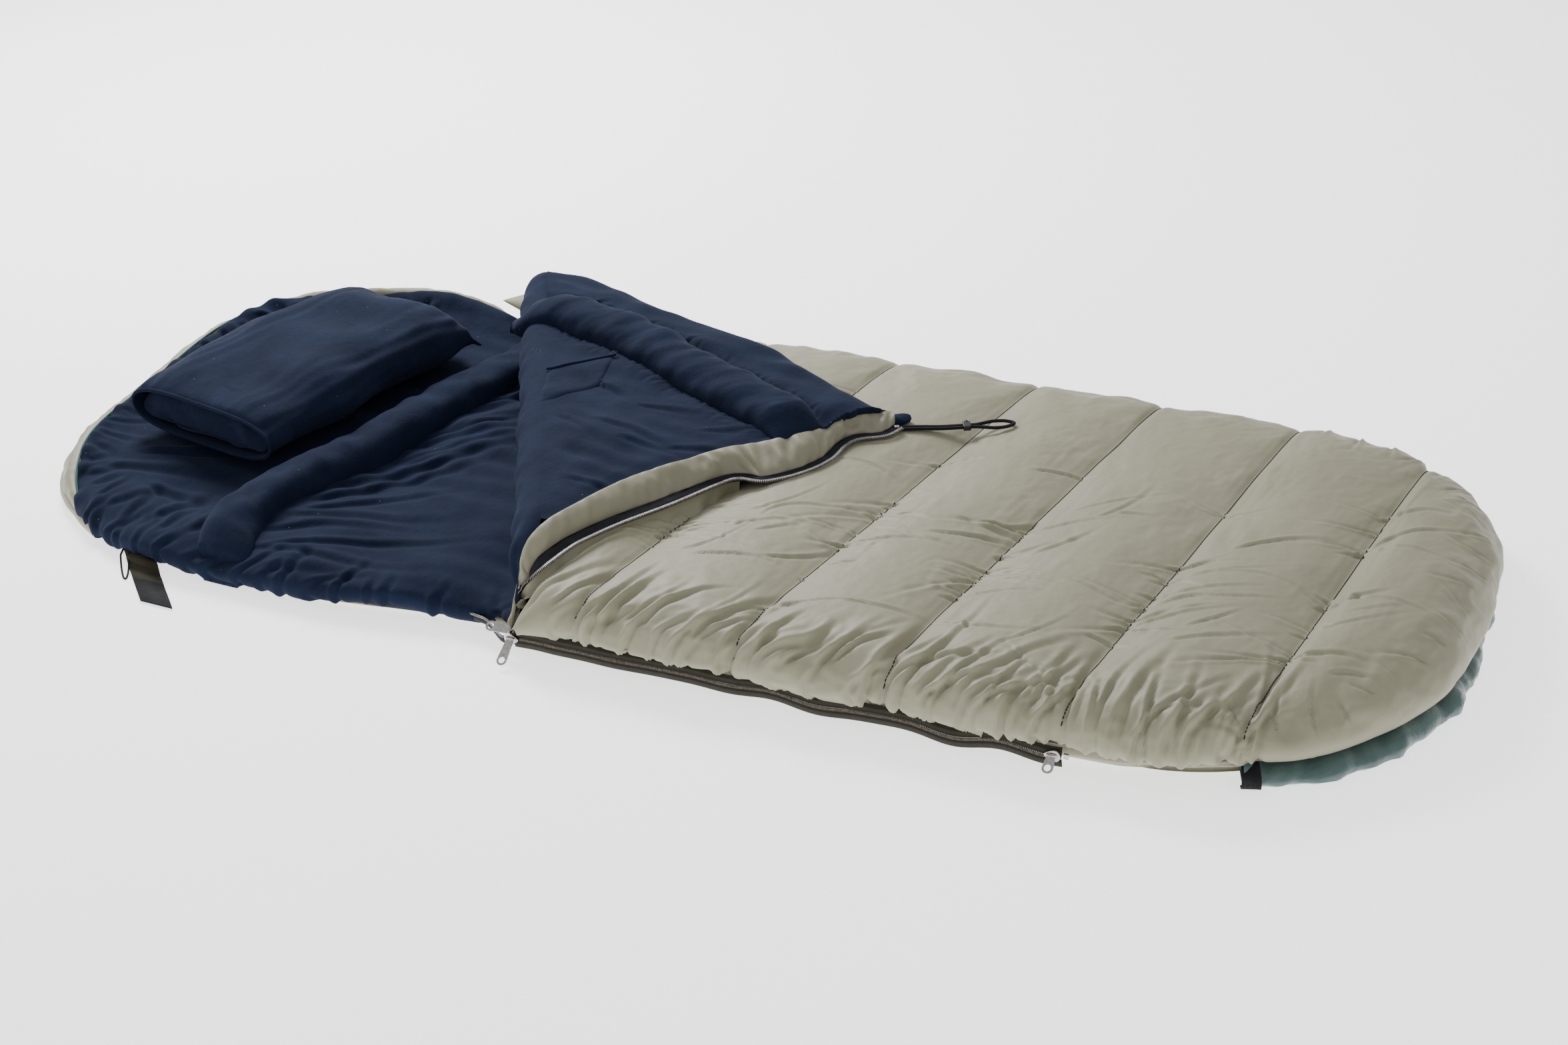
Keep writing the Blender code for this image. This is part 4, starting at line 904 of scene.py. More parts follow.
LINING_Z = 0.1640       # top of the flap's lining
CHAIN_PATH = [(-0.0885, -0.0497, 0.037), (-0.066, -0.046, 0.050), (-0.045, -0.040, 0.066),
              (-0.047, -0.0316, 0.085), (-0.052, -0.0191, 0.103), (-0.043, 0.0037, 0.118),
              (-0.0143, 0.0366, 0.127), (0.006, 0.0585, 0.128), (0.047, 0.110, 0.128), (0.096, 0.188, 0.129),
              (0.147, 0.262, 0.131), (0.157, 0.290, 0.131), (0.147, 0.327, 0.129), (0.1665, 0.383, 0.129),
              (0.200, 0.427, 0.130), (0.240, 0.452, 0.131), (0.2595, 0.475, 0.131), (0.267, 0.518, 0.130),
              (0.290, 0.544, 0.130)]
GUARD_SEAM = [(-0.074, -0.0485, 0.046), (-0.054, -0.043, 0.068), (-0.031, -0.032, 0.100), (-0.0166, -0.0282, 0.120),
              (-0.0033, -0.0143, 0.142), (0.018, 0.0115, 0.156), (0.053, 0.0515, 0.160), (0.093, 0.092, 0.160),
              (0.127, 0.134, 0.160), (0.151, 0.175, 0.160), (0.172, 0.2175, 0.160), (0.189, 0.250, 0.160),
              (0.203, 0.286, 0.160), (0.210, 0.319, 0.160), (0.224, 0.375, 0.160), (0.248, 0.420, 0.158),
              (0.280, 0.458, 0.155), (0.303, 0.492, 0.150), (0.322, 0.535, 0.142)]
NECK_EDGE = [(0.322, 0.535), (0.345, 0.500), (0.468, 0.421), (0.547, 0.378), (0.610, 0.321), (0.680, 0.258),
             (0.770, 0.176), (0.870, 0.100), (0.915, 0.055), (0.926, 0.012)]
ROLL_PATH = [(0.212, 0.400), (0.232, 0.388), (0.285, 0.357), (0.352, 0.312), (0.438, 0.252), (0.5265, 0.196),
             (0.592, 0.145), (0.662, 0.085), (0.715, 0.035), (0.745, -0.008), (0.760, -0.038), (0.766, -0.054)]
ROLL_WIDTH = 0.088
FOLD_STATIONS = [  # along, centre across, centre height, half width, half height
    (-0.070, -0.046, 0.045, 0.005, 0.008), (-0.036, -0.030, 0.070, 0.017, 0.028),
    (-0.006, -0.014, 0.098, 0.032, 0.042), (0.036, -0.002, 0.118, 0.041, 0.0445),
    (0.100, 0.0, 0.1215, 0.044, 0.0425), (0.300, 0.0, 0.1215, 0.044, 0.0425), (0.600, 0.0, 0.1215, 0.046, 0.0425),
    (0.850, 0.0, 0.1215, 0.046, 0.0425), (0.905, -0.002, 0.121, 0.042, 0.041), (0.938, -0.004, 0.119, 0.030, 0.030),
    (0.948, -0.004, 0.118, 0.012, 0.014)]


def flap_curve(points, count, height=None):
    """World places along a curve given in fold coordinates."""
    points = np.array([(*p[:2], p[2] if height is None else height) for p in points])
    curve = spline(points, count)
    return fold_place(curve[:, 0], curve[:, 1], curve[:, 2])


def soft_fleece_height(places, seed):
    """Gentle unevenness of padded fleece: broad swells and slanting soft folds."""
    swell = 0.0022 * ripple(places, 0.20, seed) + 0.0009 * ripple(places, 0.07, seed + 1)
    along, across = fold_coordinates(places)
    slanted = np.column_stack([along + 0.8 * across, (along - across) * 0.25, across * 0])
    return swell + 0.0012 * ripple(slanted, 0.055, seed + 2)


def inside(points, polygon):
    """Whether each plan point lies inside a closed polygon."""
    result = np.zeros(len(points), bool)
    for (x0, y0), (x1, y1) in zip(polygon, np.roll(polygon, -1, axis=0)):
        if y0 == y1:
            continue
        crosses = (points[:, 1] < y0) != (points[:, 1] < y1)
        result ^= crosses & (points[:, 0] < (x1 - x0) * (points[:, 1] - y0) / (y1 - y0) + x0)
    return result


def trim_grid(plan, polygon, cell):
    """Keep the points inside a polygon and pull those near its edge onto it. Returns plan, keep and edge depth."""
    edge = resample(np.vstack([polygon, polygon[:1]]), 4000)
    tree = kdtree.KDTree(len(edge))
    for number, (x, y) in enumerate(edge):
        tree.insert((x, y, 0.0), number)
    tree.balance()
    found = [tree.find((x, y, 0.0)) for x, y in plan]
    distance = np.array([hit[2] for hit in found])
    nearest = edge[[hit[1] for hit in found]]
    depth = np.where(inside(plan, polygon), distance, -distance)
    snap = np.abs(depth) <= cell * 0.5
    plan = np.where(snap[:, None], nearest, plan)
    return plan, depth > -cell * 0.5, np.where(snap, 0.0, depth)


def curve_distance(points, curve):
    tree = kdtree.KDTree(len(curve))
    for number, (x, y) in enumerate(curve):
        tree.insert((x, y, 0.0), number)
    tree.balance()
    return np.array([tree.find((x, y, 0.0))[2] for x, y in points])


def build_flap_lining():
    seam = spline(GUARD_SEAM[5:], 300)
    neck = spline(NECK_EDGE, 300)
    polygon = np.vstack([[(0.018, -0.001)], seam[:, :2], neck[1:], [(0.922, -0.001)]])
    cell = CELL
    v, u = np.meshgrid(np.arange(-0.01, 0.56, cell), np.arange(0.0, 0.97, cell), indexing="ij")
    plan, keep, _ = trim_grid(np.column_stack([u.ravel(), v.ravel()]), polygon, cell)
    from_seam = curve_distance(plan, seam[:, :2])
    from_neck = curve_distance(plan, neck)
    drop = 1 - np.sqrt(1 - (1 - np.clip(from_neck / 0.032, 0, 1)) ** 2)
    height = LINING_Z - 0.032 * drop - 0.005 * (1 - smooth(0, 0.03, from_seam))
    places = fold_place(plan[:, 0], plan[:, 1], height)
    rows, columns = v.shape
    obj, used = kept_mesh("flap_lining_fleece", places, grid_faces(rows, columns), keep)
    face_up(obj)
    places = coordinates(obj)
    plan = plan[used]
    fade = smooth(0.0, 0.03, from_seam[used]) * smooth(0.0, 0.02, from_neck[used]) * smooth(0.0, 0.035, plan[:, 1])
    places[:, 2] += soft_fleece_height(places, 41) * fade
    roll = spline(ROLL_PATH, 400)
    from_roll = curve_distance(plan, roll)
    seam_at = np.abs(from_roll - ROLL_WIDTH * 0.5)
    places[:, 2] -= 0.0045 * hump(seam_at, 0.0, 0.010) * fade
    beyond = smooth(0.0, 0.02, from_roll - ROLL_WIDTH * 0.5) * smooth(0.0, 0.05, from_neck[used])
    side = plan[:, 1] + 0.86 * plan[:, 0] > 0.59
    places[:, 2] += 0.005 * beyond * side
    set_coordinates(obj, places)
    subdivide(obj)
    places = coordinates(obj)
    creased = press_creases(places, normals(obj), flap_creases(np.random.default_rng(8)))
    fade = smooth(0.0, 0.03, fold_coordinates(places)[1])[:, None]
    set_coordinates(obj, places * (1 - fade) + creased * fade)
    turn_under(obj, 0.010, 0.010, lambda place: fold_coordinates(place[None])[1][0] > 0.010)
    finish_piece(obj, FLEECE, "flap", "navy_fleece", "flap_lining", "flap_fill")


def flap_creases(rng):
    """Soft slanting folds in the lining, and short puckers beside the roll's seams."""
    creases = []
    for along, across, angle, length in ((0.30, 0.10, 0.9, 0.20), (0.24, 0.13, 1.0, 0.16), (0.36, 0.16, 1.2, 0.13),
                                         (0.21, 0.20, 1.25, 0.12), (0.44, 0.09, 0.8, 0.10), (0.12, 0.05, 1.0, 0.14),
                                         (0.33, 0.03, 0.6, 0.11), (0.26, 0.25, 1.3, 0.10)):
        start = fold_place(np.array([along]), np.array([across]), LINING_Z)[0]
        heading = FOLD_ALONG * -math.cos(angle) + FOLD_ACROSS * math.sin(angle)
        creases.append((start, heading, length, 0.009, 0.0026, rng.normal(0, 0.12)))
    roll = spline(ROLL_PATH, 60)
    for number in range(4, 52, 2):
        ahead = roll[number + 1] - roll[number - 1]
        ahead /= np.linalg.norm(ahead)
        sideways = np.array([ahead[1], -ahead[0]])
        for sign in (-1, 1):
            spot = roll[number] + sideways * sign * ROLL_WIDTH * 0.5
            start = fold_place(spot[:1], spot[1:], LINING_Z)[0]
            lean = rng.normal(0, 0.5)
            plan_heading = sideways * sign + ahead * lean
            heading = FOLD_ALONG * plan_heading[0] + FOLD_ACROSS * plan_heading[1]
            creases.append((start, heading, rng.uniform(0.02, 0.05), 0.005, rng.uniform(0.0012, 0.0028), 0.0))
    return creases


def turn_under(obj, drop, inset, turned):
    """Turn a hem down and then inwards at the mesh's open edges, where turned(place) says so."""
    bm = bmesh.new()
    bm.from_mesh(obj.data)
    centre = sum((v.co for v in bm.verts), Vector()) / len(bm.verts)
    rim = [edge for edge in bm.edges if edge.is_boundary and all(turned(np.array(v.co)) for v in edge.verts)]
    for down, inward in ((drop, 0.0), (0.0, inset)):
        made = bmesh.ops.extrude_edge_only(bm, edges=rim)["geom"]
        for vert in (item for item in made if isinstance(item, bmesh.types.BMVert)):
            towards = centre - vert.co
            towards.z = 0
            vert.co += Vector((0, 0, -down)) + towards.normalized() * inward
        rim = [item for item in made if isinstance(item, bmesh.types.BMEdge)]
        rim = [edge for edge in rim if edge.is_boundary and all(vert in edge.verts for vert in edge.verts)]
        rim = [edge for edge in rim if sum(len(vert.link_faces) for vert in edge.verts) <= 4]
    bmesh.ops.recalc_face_normals(bm, faces=bm.faces)
    bm.to_mesh(obj.data)
    bm.free()
    obj.data.shade_smooth()
    face_up(obj)


def build_fold():
    """The fleece that rolls over where the cover turns back."""
    stations = spline(FOLD_STATIONS, 320)
    sides = 30
    angles = np.radians(np.linspace(-100, 96, sides))
    along = np.repeat(stations[:, 0], sides)
    cosine, sine = np.tile(np.cos(angles), len(stations)), np.tile(np.sin(angles), len(stations))
    across = np.repeat(stations[:, 1], sides) - cosine * np.repeat(stations[:, 3], sides)
    height = np.repeat(stations[:, 2], sides) + sine * np.repeat(stations[:, 4], sides)
    places = fold_place(along, across, height)
    obj = mesh_object("fold_fleece", places, grid_faces(len(stations), sides))
    bm = bmesh.new()
    bm.from_mesh(obj.data)
    bmesh.ops.recalc_face_normals(bm, faces=bm.faces)
    bm.to_mesh(obj.data)
    bm.free()
    if sum(1 for v in obj.data.vertices if v.normal.dot(Vector(FOLD_ACROSS)) > 0) > len(obj.data.vertices) / 2:
        obj.data.flip_normals()
    places = coordinates(obj)
    gather = np.column_stack([along, across * 0.25, height * 0.25])
    rough = 0.0016 * ripple(gather, 0.055, 51) + 0.0022 * ripple(places, 0.16, 52)
    rough += 0.003 * ripple(gather, 0.03, 53) * smooth(0.10, -0.02, along)
    top = smooth(0.9, 0.5, sine)
    set_coordinates(obj, places + normals(obj) * (rough * top)[:, None])
    axis_z = FOLD_START[2]
    finish_piece(obj, FLEECE, None, "navy_fleece", "cover_fold",
                 blend=("root", "flap", (*FOLD_START[:2], axis_z - 0.040), (*FOLD_START[:2], axis_z + 0.036)))


def stuffed_roll(name, path, width, heights, floor, seed, gather):
    """A stuffed tube sewn down along both sides: a half-round skin over a path, with cross gathers."""
    sides = 26
    count = len(path)
    ahead = np.gradient(path, axis=0)
    ahead[:, 2] = 0
    ahead /= np.linalg.norm(ahead, axis=1)[:, None]
    sideways = np.column_stack([ahead[:, 1], -ahead[:, 0], np.zeros(count)])
    angles = np.linspace(-0.12, math.pi + 0.12, sides)
    cosine = np.sign(np.cos(angles)) * np.abs(np.cos(angles)) ** 0.85
    sine = np.sign(np.sin(angles)) * np.abs(np.sin(angles)) ** 0.80
    half = np.broadcast_to(width / 2, (count,))
    places = (path[:, None, :] + sideways[:, None, :] * (half[:, None] * cosine[None, :])[:, :, None]
              + np.array([0, 0, 1.0]) * (heights[:, None] * sine[None, :])[:, :, None])
    places[:, :, 2] += np.broadcast_to(floor, (count,))[:, None]
    flat = places.reshape(-1, 3)
    obj = face_up(mesh_object(name, flat, grid_faces(count, sides)))
    lengths = np.concatenate([[0], np.cumsum(np.linalg.norm(np.diff(path, axis=0), axis=1))])
    around = np.tile(angles, count)
    field = np.column_stack([np.repeat(lengths, sides) + 0.030 * np.cos(around), around * 0.020, around * 0])
    rough = gather * ripple(field, 0.060, seed) + 0.6 * gather * ripple(field, 0.028, seed + 1)
    rough += 0.0024 * ripple(flat, 0.13, seed + 2) + 0.0012 * ripple(flat, 0.05, seed + 3)
    low = np.clip(np.sin(around), 0, 1) ** 0.5
    set_coordinates(obj, coordinates(obj) + normals(obj) * (rough * low)[:, None])
    bm = bmesh.new()
    bm.from_mesh(obj.data)
    bmesh.ops.holes_fill(bm, edges=[e for e in bm.edges if e.is_boundary], sides=0)
    bmesh.ops.recalc_face_normals(bm, faces=bm.faces)
    bm.to_mesh(obj.data)
    bm.free()
    obj.data.shade_smooth()
    return obj


def run_out(obj, depth, reach, floor):
    """Bring a roll down to the surface below it where it nears an edge. depth is each point's distance inside."""
    places = coordinates(obj)
    share = np.sqrt(np.clip(depth / reach, 0, 1))
    places[:, 2] = floor + (places[:, 2] - floor) * share
    set_coordinates(obj, places)


def build_rolls():
    path = flap_curve(ROLL_PATH, 260, LINING_Z)
    share = np.linspace(0, 1, len(path))
    heights = 0.036 * (0.55 + 0.45 * smooth(0.0, 0.08, share)) * (1 - 0.75 * smooth(0.93, 1.0, share) ** 2)
    floor = -0.004 - 0.030 * smooth(0.86, 1.0, share)
    width = ROLL_WIDTH * (0.92 + 0.08 * smooth(0, 0.1, share)) * (1 - 0.35 * smooth(0.95, 1.0, share))
    roll = stuffed_roll("flap_neck_roll", path, width, heights, floor, 61, 0.0007)
    seam = spline(GUARD_SEAM[5:], 400)
    polygon = np.vstack([[(0.0, -0.3)], seam[:, :2], spline(NECK_EDGE, 100)[1:], [(1.2, -0.3)]])
    along, across = fold_coordinates(coordinates(roll))
    plan, _, depth = trim_grid(np.column_stack([along, across]), polygon, 0.0002)
    outside = depth < 0
    nearest = seam[[int(np.argmin(np.linalg.norm(seam[:, :2] - spot, axis=1))) for spot in plan[outside]]]
    places = coordinates(roll)
    places[outside] = fold_place(nearest[:, 0], nearest[:, 1], nearest[:, 2])
    set_coordinates(roll, places)
    run_out(roll, np.where(along < 0.45, depth, 1.0), 0.045, LINING_Z - 0.005)
    finish_piece(roll, FLEECE, "flap", "navy_fleece", "flap_neck_baffle", "flap_neck_baffle_fill")
    base_path = spline([(-0.622, -0.460, 0.0), (-0.640, -0.432, 0.0), (-0.662, -0.385, 0.0), (-0.675, -0.325, 0.0), (-0.660, -0.240, 0.0),
                        (-0.632, -0.150, 0.0), (-0.607, -0.050, 0.0), (-0.590, 0.070, 0.0), (-0.570, 0.170, 0.0),
                        (-0.556, 0.260, 0.0), (-0.545, 0.380, 0.0)], 260)
    share = np.linspace(0, 1, len(base_path))
    heights = 0.047 * (0.16 + 0.84 * smooth(0.0, 0.15, share)) * (1 - 0.5 * smooth(0.70, 0.95, share))
    floor = 0.0500 - 0.030 * smooth(0.055, 0.0, share)
    width = 0.088 * (0.92 + 0.08 * smooth(0.0, 0.12, share))
    roll = stuffed_roll("base_neck_roll", base_path, width, heights, floor, 71, 0.0004)
    places = coordinates(roll)
    found, depth = nearest_edge(places[:, :2])
    short = np.clip(0.004 - depth, 0, None)
    places[:, :2] += INWARD[found] * short[:, None]
    set_coordinates(roll, places)
    _, inset, height = ROLLED_SECTION
    top = np.argmax(inset > 0.004)
    floor = np.interp(depth, inset[top:], height[top:]) - 0.003
    run_out(roll, depth + 0.004, 0.060, floor)
    finish_piece(roll, FLEECE, "root", "navy_fleece", "base_neck_baffle", "base_neck_baffle_fill")


def droop_blend():
    """Root at the slider's height, flap above: for the fabric that rises from the slider to the flap."""
    return ("root", "flap", (*FOLD_START[:2], 0.045), (*FOLD_START[:2], 0.124))


def build_guard():
    """The gathered olive strip between the lining and the zip tape."""
    count = 420
    inner = flap_curve(GUARD_SEAM, count)
    inner = inner + inward_of(inner) * 0.004 + np.array([0, 0, 0.0028])
    chain = flap_curve(CHAIN_PATH, count)
    share = np.linspace(0, 1, count)[:, None]
    shown = 0.0200 * smooth(0.06, 0.17, share) - 0.0085 * smooth(0.45, 0.62, share)
    tape_edge = chain + inward_of(chain) * (shown + 0.0015) + np.array([0, 0, 1.0]) * 0.0022
    across = 12
    shares = np.linspace(0, 1, across)
    rows = inner[:, None, :] * (1 - shares)[None, :, None] + tape_edge[:, None, :] * shares[None, :, None]
    lengths = np.concatenate([[0], np.cumsum(np.linalg.norm(np.diff(inner, axis=0), axis=1))])
    total = lengths[-1]
    s = np.repeat(lengths, across)
    t = np.tile(shares, count)
    field = np.column_stack([s + 0.012 * t, t * 0.02, t * 0])
    gather = 0.0028 * ripple(field, 0.040, 81) + 0.0016 * ripple(field, 0.017, 82)
    gather *= (0.4 + 0.8 * smooth(0.25 * total, 0.8 * total, s)) * np.sin(math.pi * np.clip(0.12 + 0.88 * t, 0, 1)) ** 0.6
    puff = 0.0065 * np.sin(math.pi * t) ** 0.7 + gather
    places = rows.reshape(-1, 3)
    obj = face_up(mesh_object("zip_guard_strip", places, grid_faces(count, across)))
    set_coordinates(obj, places + normals(obj) * puff[:, None])
    solid = obj.modifiers.new("thick", "SOLIDIFY")
    solid.thickness = 0.0016
    solid.offset = -1
    apply_modifiers(obj)
    subdivide(obj)
    finish_piece(obj, OLIVE_DARK, None, "olive_shell", "zip_guard", blend=droop_blend())


def inward_of(path):
    """Unit plan directions square to a path on the flap's edge, towards the lining."""
    ahead = np.gradient(path, axis=0)
    ahead[:, 2] = 0
    ahead /= np.linalg.norm(ahead, axis=1)[:, None].clip(1e-6)
    side = np.column_stack([-ahead[:, 1], ahead[:, 0], np.zeros(len(path))])
    return side


def teeth_row(name, path, side, up, pitch=0.0025, reach=0.0034, length=0.0016, thick=0.0024, phase=0.0):
    """A row of zip teeth along a path, each a small block with a rounded head, as one mesh."""
    lengths = np.concatenate([[0], np.cumsum(np.linalg.norm(np.diff(path, axis=0), axis=1))])
    count = int(lengths[-1] / pitch)
    wanted = np.linspace(0, lengths[-1], count * 2 + 1)
    dense = np.column_stack([np.interp(wanted, lengths, column) for column in np.hstack([path, side, up]).T])
    vertices, faces = [], []
    profile_points = [(0.0, -0.5, -0.5), (0.0, 0.5, -0.5), (0.0, 0.5, 0.5), (0.0, -0.5, 0.5),
                      (0.7, -0.5, -0.5), (0.7, 0.5, -0.5), (0.7, 0.5, 0.5), (0.7, -0.5, 0.5),
                      (1.0, -0.3, -0.3), (1.0, 0.3, -0.3), (1.0, 0.3, 0.3), (1.0, -0.3, 0.3)]
    block = [(3, 2, 1, 0), (8, 9, 10, 11)]
    for low in (0, 4):
        block += [(low + k, low + (k + 1) % 4, low + 4 + (k + 1) % 4, low + 4 + k) for k in range(4)]
    for number in range(count):
        row = dense[min(2 * number + (1 if phase else 0), len(dense) - 2)]
        ahead = dense[min(2 * number + 2, len(dense) - 1)][:3] - dense[max(2 * number - 1, 0)][:3]
        ahead /= np.linalg.norm(ahead)
        inward = row[3:6] / np.linalg.norm(row[3:6])
        over = row[6:9] / np.linalg.norm(row[6:9])
        first = len(vertices)
        for along, width, height in profile_points:
            vertices.append(row[:3] + inward * along * reach + ahead * width * length + over * height * thick)
        faces += [[first + k for k in face] for face in block]
    obj = mesh_object(name, vertices, faces)
    bm = bmesh.new()
    bm.from_mesh(obj.data)
    bmesh.ops.recalc_face_normals(bm, faces=bm.faces)
    bm.to_mesh(obj.data)
    bm.free()
    obj.data.shade_flat()
    return obj


def build_flap_zip():
    count = 420
    chain = flap_curve(CHAIN_PATH, count)
    inward = inward_of(chain)
    up = np.tile([0, 0, 1.0], (count, 1))
    teeth = teeth_row("flap_zip_teeth", chain - inward * 0.0006 + [0, 0, 0.0020], -inward, up, thick=0.0036,
                      reach=0.0058)
    finish_piece(teeth, TEETH, None, "zip_metal", "flap_zip_chain", blend=droop_blend())
    wave = 0.0008 * ripple(chain, 0.03, 91)[:, None] * np.array([0, 0, 1.0])
    width = 0.0040 + 0.0195 * smooth(0.06, 0.17, np.linspace(0, 1, count))[:, None]
    tape = ribbon("flap_zip_tape_woven", chain + inward * 0.0008, chain + inward * width + wave + [0, 0, 0.0012],
                  0.0012)
    finish_piece(tape, TAPE_NAVY, None, "tape_olive", "flap_zip_tape", blend=droop_blend())
    cord = tube("flap_zip_bead", chain + inward * 0.0024 + [0, 0, 0.0006], 0.0011, 8)
    finish_piece(cord, TAPE_NAVY, None, "tape_olive", blend=droop_blend())


def side_zip_path(side, start, stop, waist=0.0, count=300):
    """Plan path of a zip along a side of the bag, pulled in a little at the waist left of the slider."""
    x = np.linspace(start, stop, count)
    past = np.clip(-x - (HALF_LENGTH - HEAD_DEPTH), 0, None) / HEAD_DEPTH
    half = HALF_WIDTH * (1 - past ** HEAD_POWER) ** (1 / HEAD_POWER) + abs(ZIP_Y) - HALF_WIDTH
    half = half - waist * waist_share(x)
    return np.column_stack([x, side * half, np.full(count, ZIP_Z)])


def waist_share(x):
    return smooth(-0.50, -0.24, x) * smooth(-0.140, -0.20, x)


WAIST = 0.030


def build_shell_corner():
    """The corner of olive shell that sticks out behind the fold's far end."""
    tip = fold_place(0.9480, -0.0840, 0.098)
    share = np.linspace(0, 1, 9)[:, None]
    upper = tip + (fold_place(0.9430, -0.0300, 0.112) - tip) * share
    lower = tip + (fold_place(0.8950, -0.0400, 0.092) - tip) * share
    corner = ribbon("fold_shell_corner", upper, lower - [0, 0, 0.0005], 0.0016)
    finish_piece(corner, OLIVE_DARK, None, "olive_shell", blend=droop_blend())


def build_zip_gusset():
    """The gathered shell that runs from the drooping chain to the cover's corner beside the slider."""
    count, across = 180, 14
    chain = flap_curve(CHAIN_PATH[:12], count) - inward_of(flap_curve(CHAIN_PATH[:12], count)) * 0.0010
    share = np.linspace(0, 1, count)[:, None]
    outward = -inward_of(chain)
    outward[:, 0] = np.abs(outward[:, 0])
    ending = smooth(0.78, 1.0, share)
    foot = chain + outward * (0.012 + 0.020 * smooth(0.0, 0.4, share)) * (1 - 0.85 * ending) * [1, 1, 0]
    foot[:, 2] = 0.034 + (chain[:, 2] - 0.034) * 0.80 - 0.016 * smooth(0.35, 0.8, share[:, 0])
    foot[:, 2] -= 0.010 * ending[:, 0]
    t = np.linspace(0, 1, across)
    rows = chain[:, None, :] * (1 - t)[None, :, None] + foot[:, None, :] * t[None, :, None]
    places = rows.reshape(-1, 3) - [0, 0, 0.0030]
    obj = mesh_object("zip_gusset", places, grid_faces(count, across))
    face_up(obj)
    tt = np.tile(t, count)
    field = np.column_stack([np.repeat(share[:, 0], across) * 0.42 + 0.01 * tt, tt * 0.01, tt * 0])
    gather = (0.0022 * ripple(field, 0.045, 161) + 0.0014 * ripple(field, 0.020, 162)) * np.sin(math.pi * tt) ** 2
    set_coordinates(obj, places + normals(obj) * (gather - 0.007 * np.sin(math.pi * tt) ** 0.5)[:, None])
    subdivide(obj)
    still, turning = fold_place([0.0, 0.0], [-0.055, -0.008], FOLD_START[2])
    finish_piece(obj, OLIVE_DARK, None, "olive_shell", blend=("root", "flap", tuple(still), tuple(turning)))


def build_side_zips():
    start_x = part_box("zip_chain_cover")[0].x - 0.004
    end_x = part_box("zip_chain_cover")[1].x
    far_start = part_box("far_zip_chain_cover")[0].x - 0.004
    far_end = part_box("far_zip_chain_cover")[1].x
    open_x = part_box("zip_chain_base")[0].x
    far_open_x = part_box("far_zip_chain_base")[0].x
    for prefix, side, closed_from, closed_to, open_from in (
            ("", -1, start_x, end_x, open_x), ("far_", 1, far_start, far_end, far_open_x)):
        path = side_zip_path(side, closed_from, closed_to)
        out = np.tile([0, side, 0.0], (len(path), 1))
        down = np.tile([0, 0, -1.0], (len(path), 1))
        waves = 0.0022 * ripple(path, 0.12, 95)[:, None] * np.array([0, 0, 1.0])
        waves *= smooth(closed_from, closed_from + 0.05, path[:, 0])[:, None]
        path = path + waves
        for edge, sign in (("base", -1), ("cover", 1)):
            teeth = teeth_row(f"{prefix}closed_teeth_{edge}", path + [0, 0, sign * 0.0023], -sign * down * -1, out,
                              phase=1.0 if sign > 0 else 0.0)
            finish_piece(teeth, BRONZE, "root", "zip_metal",
                         *([f"{prefix}zip_chain_cover"] if edge == "cover" else []))
            near = path + [0, 0, sign * 0.0026] - out * 0.0004
            reach = 0.0150
            wide = path + [0, 0, sign * reach] - out * 0.0030
            tape = ribbon(f"{prefix}closed_tape_{edge}", near, wide, 0.0011)
            finish_piece(tape, TAPE_OLIVE, "root", "tape_olive",
                         *([f"{prefix}zip_tape_cover"] if edge == "cover" else []))
        path = side_zip_path(side, open_from, closed_from, WAIST if side < 0 else 0.0)
        out = np.tile([0, side, 0.0], (len(path), 1))
        up = np.tile([0, 0, 1.0], (len(path), 1))
        wave = 0.0025 * ripple(path, 0.10, 96)[:, None] * np.array([0, 0, 1.0])
        path = path + wave * smooth(closed_from, closed_from - 0.03, path[:, 0])[:, None]
        if side < 0:
            tucked = smooth(-0.19, -0.26, path[:, 0])
            path[:, 2] -= 0.0050 * tucked
            path[:, 1] += 0.0150 * tucked
        teeth = teeth_row(f"{prefix}open_teeth_base", path + [0, 0, -0.0012], up, out)
        finish_piece(teeth, TEETH if side < 0 else BRONZE, "root", "zip_metal", f"{prefix}zip_chain_base")
        tape = ribbon(f"{prefix}open_tape_base", path + [0, 0, -0.0012] - out * 0.0004,
                      path + [0, 0, -0.0115] - out * 0.003, 0.0011)
        finish_piece(tape, TAPE_NAVY, "root", "tape_olive", f"{prefix}zip_tape_base")


# --- the pillow ----------------------------------------------------------------------------------------------

PILLOW_LOW, PILLOW_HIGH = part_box("pillow_case")
PILLOW_CENTRE = np.array([-0.815, 0.055])
PILLOW_TURN = math.radians(-12)
PILLOW_STATIONS = [  # along the pillow, width share, height share
    (-0.985, 0.965, 0.74), (-0.90, 0.975, 0.84), (-0.75, 0.985, 0.94), (-0.50, 1.0, 1.02), (0.0, 0.99, 1.05),
    (0.40, 0.99, 1.06), (0.68, 0.985, 1.04), (0.86, 0.98, 0.95), (0.97, 0.98, 0.74), (1.04, 1.0, 0.42),
    (1.075, 1.02, 0.10)]


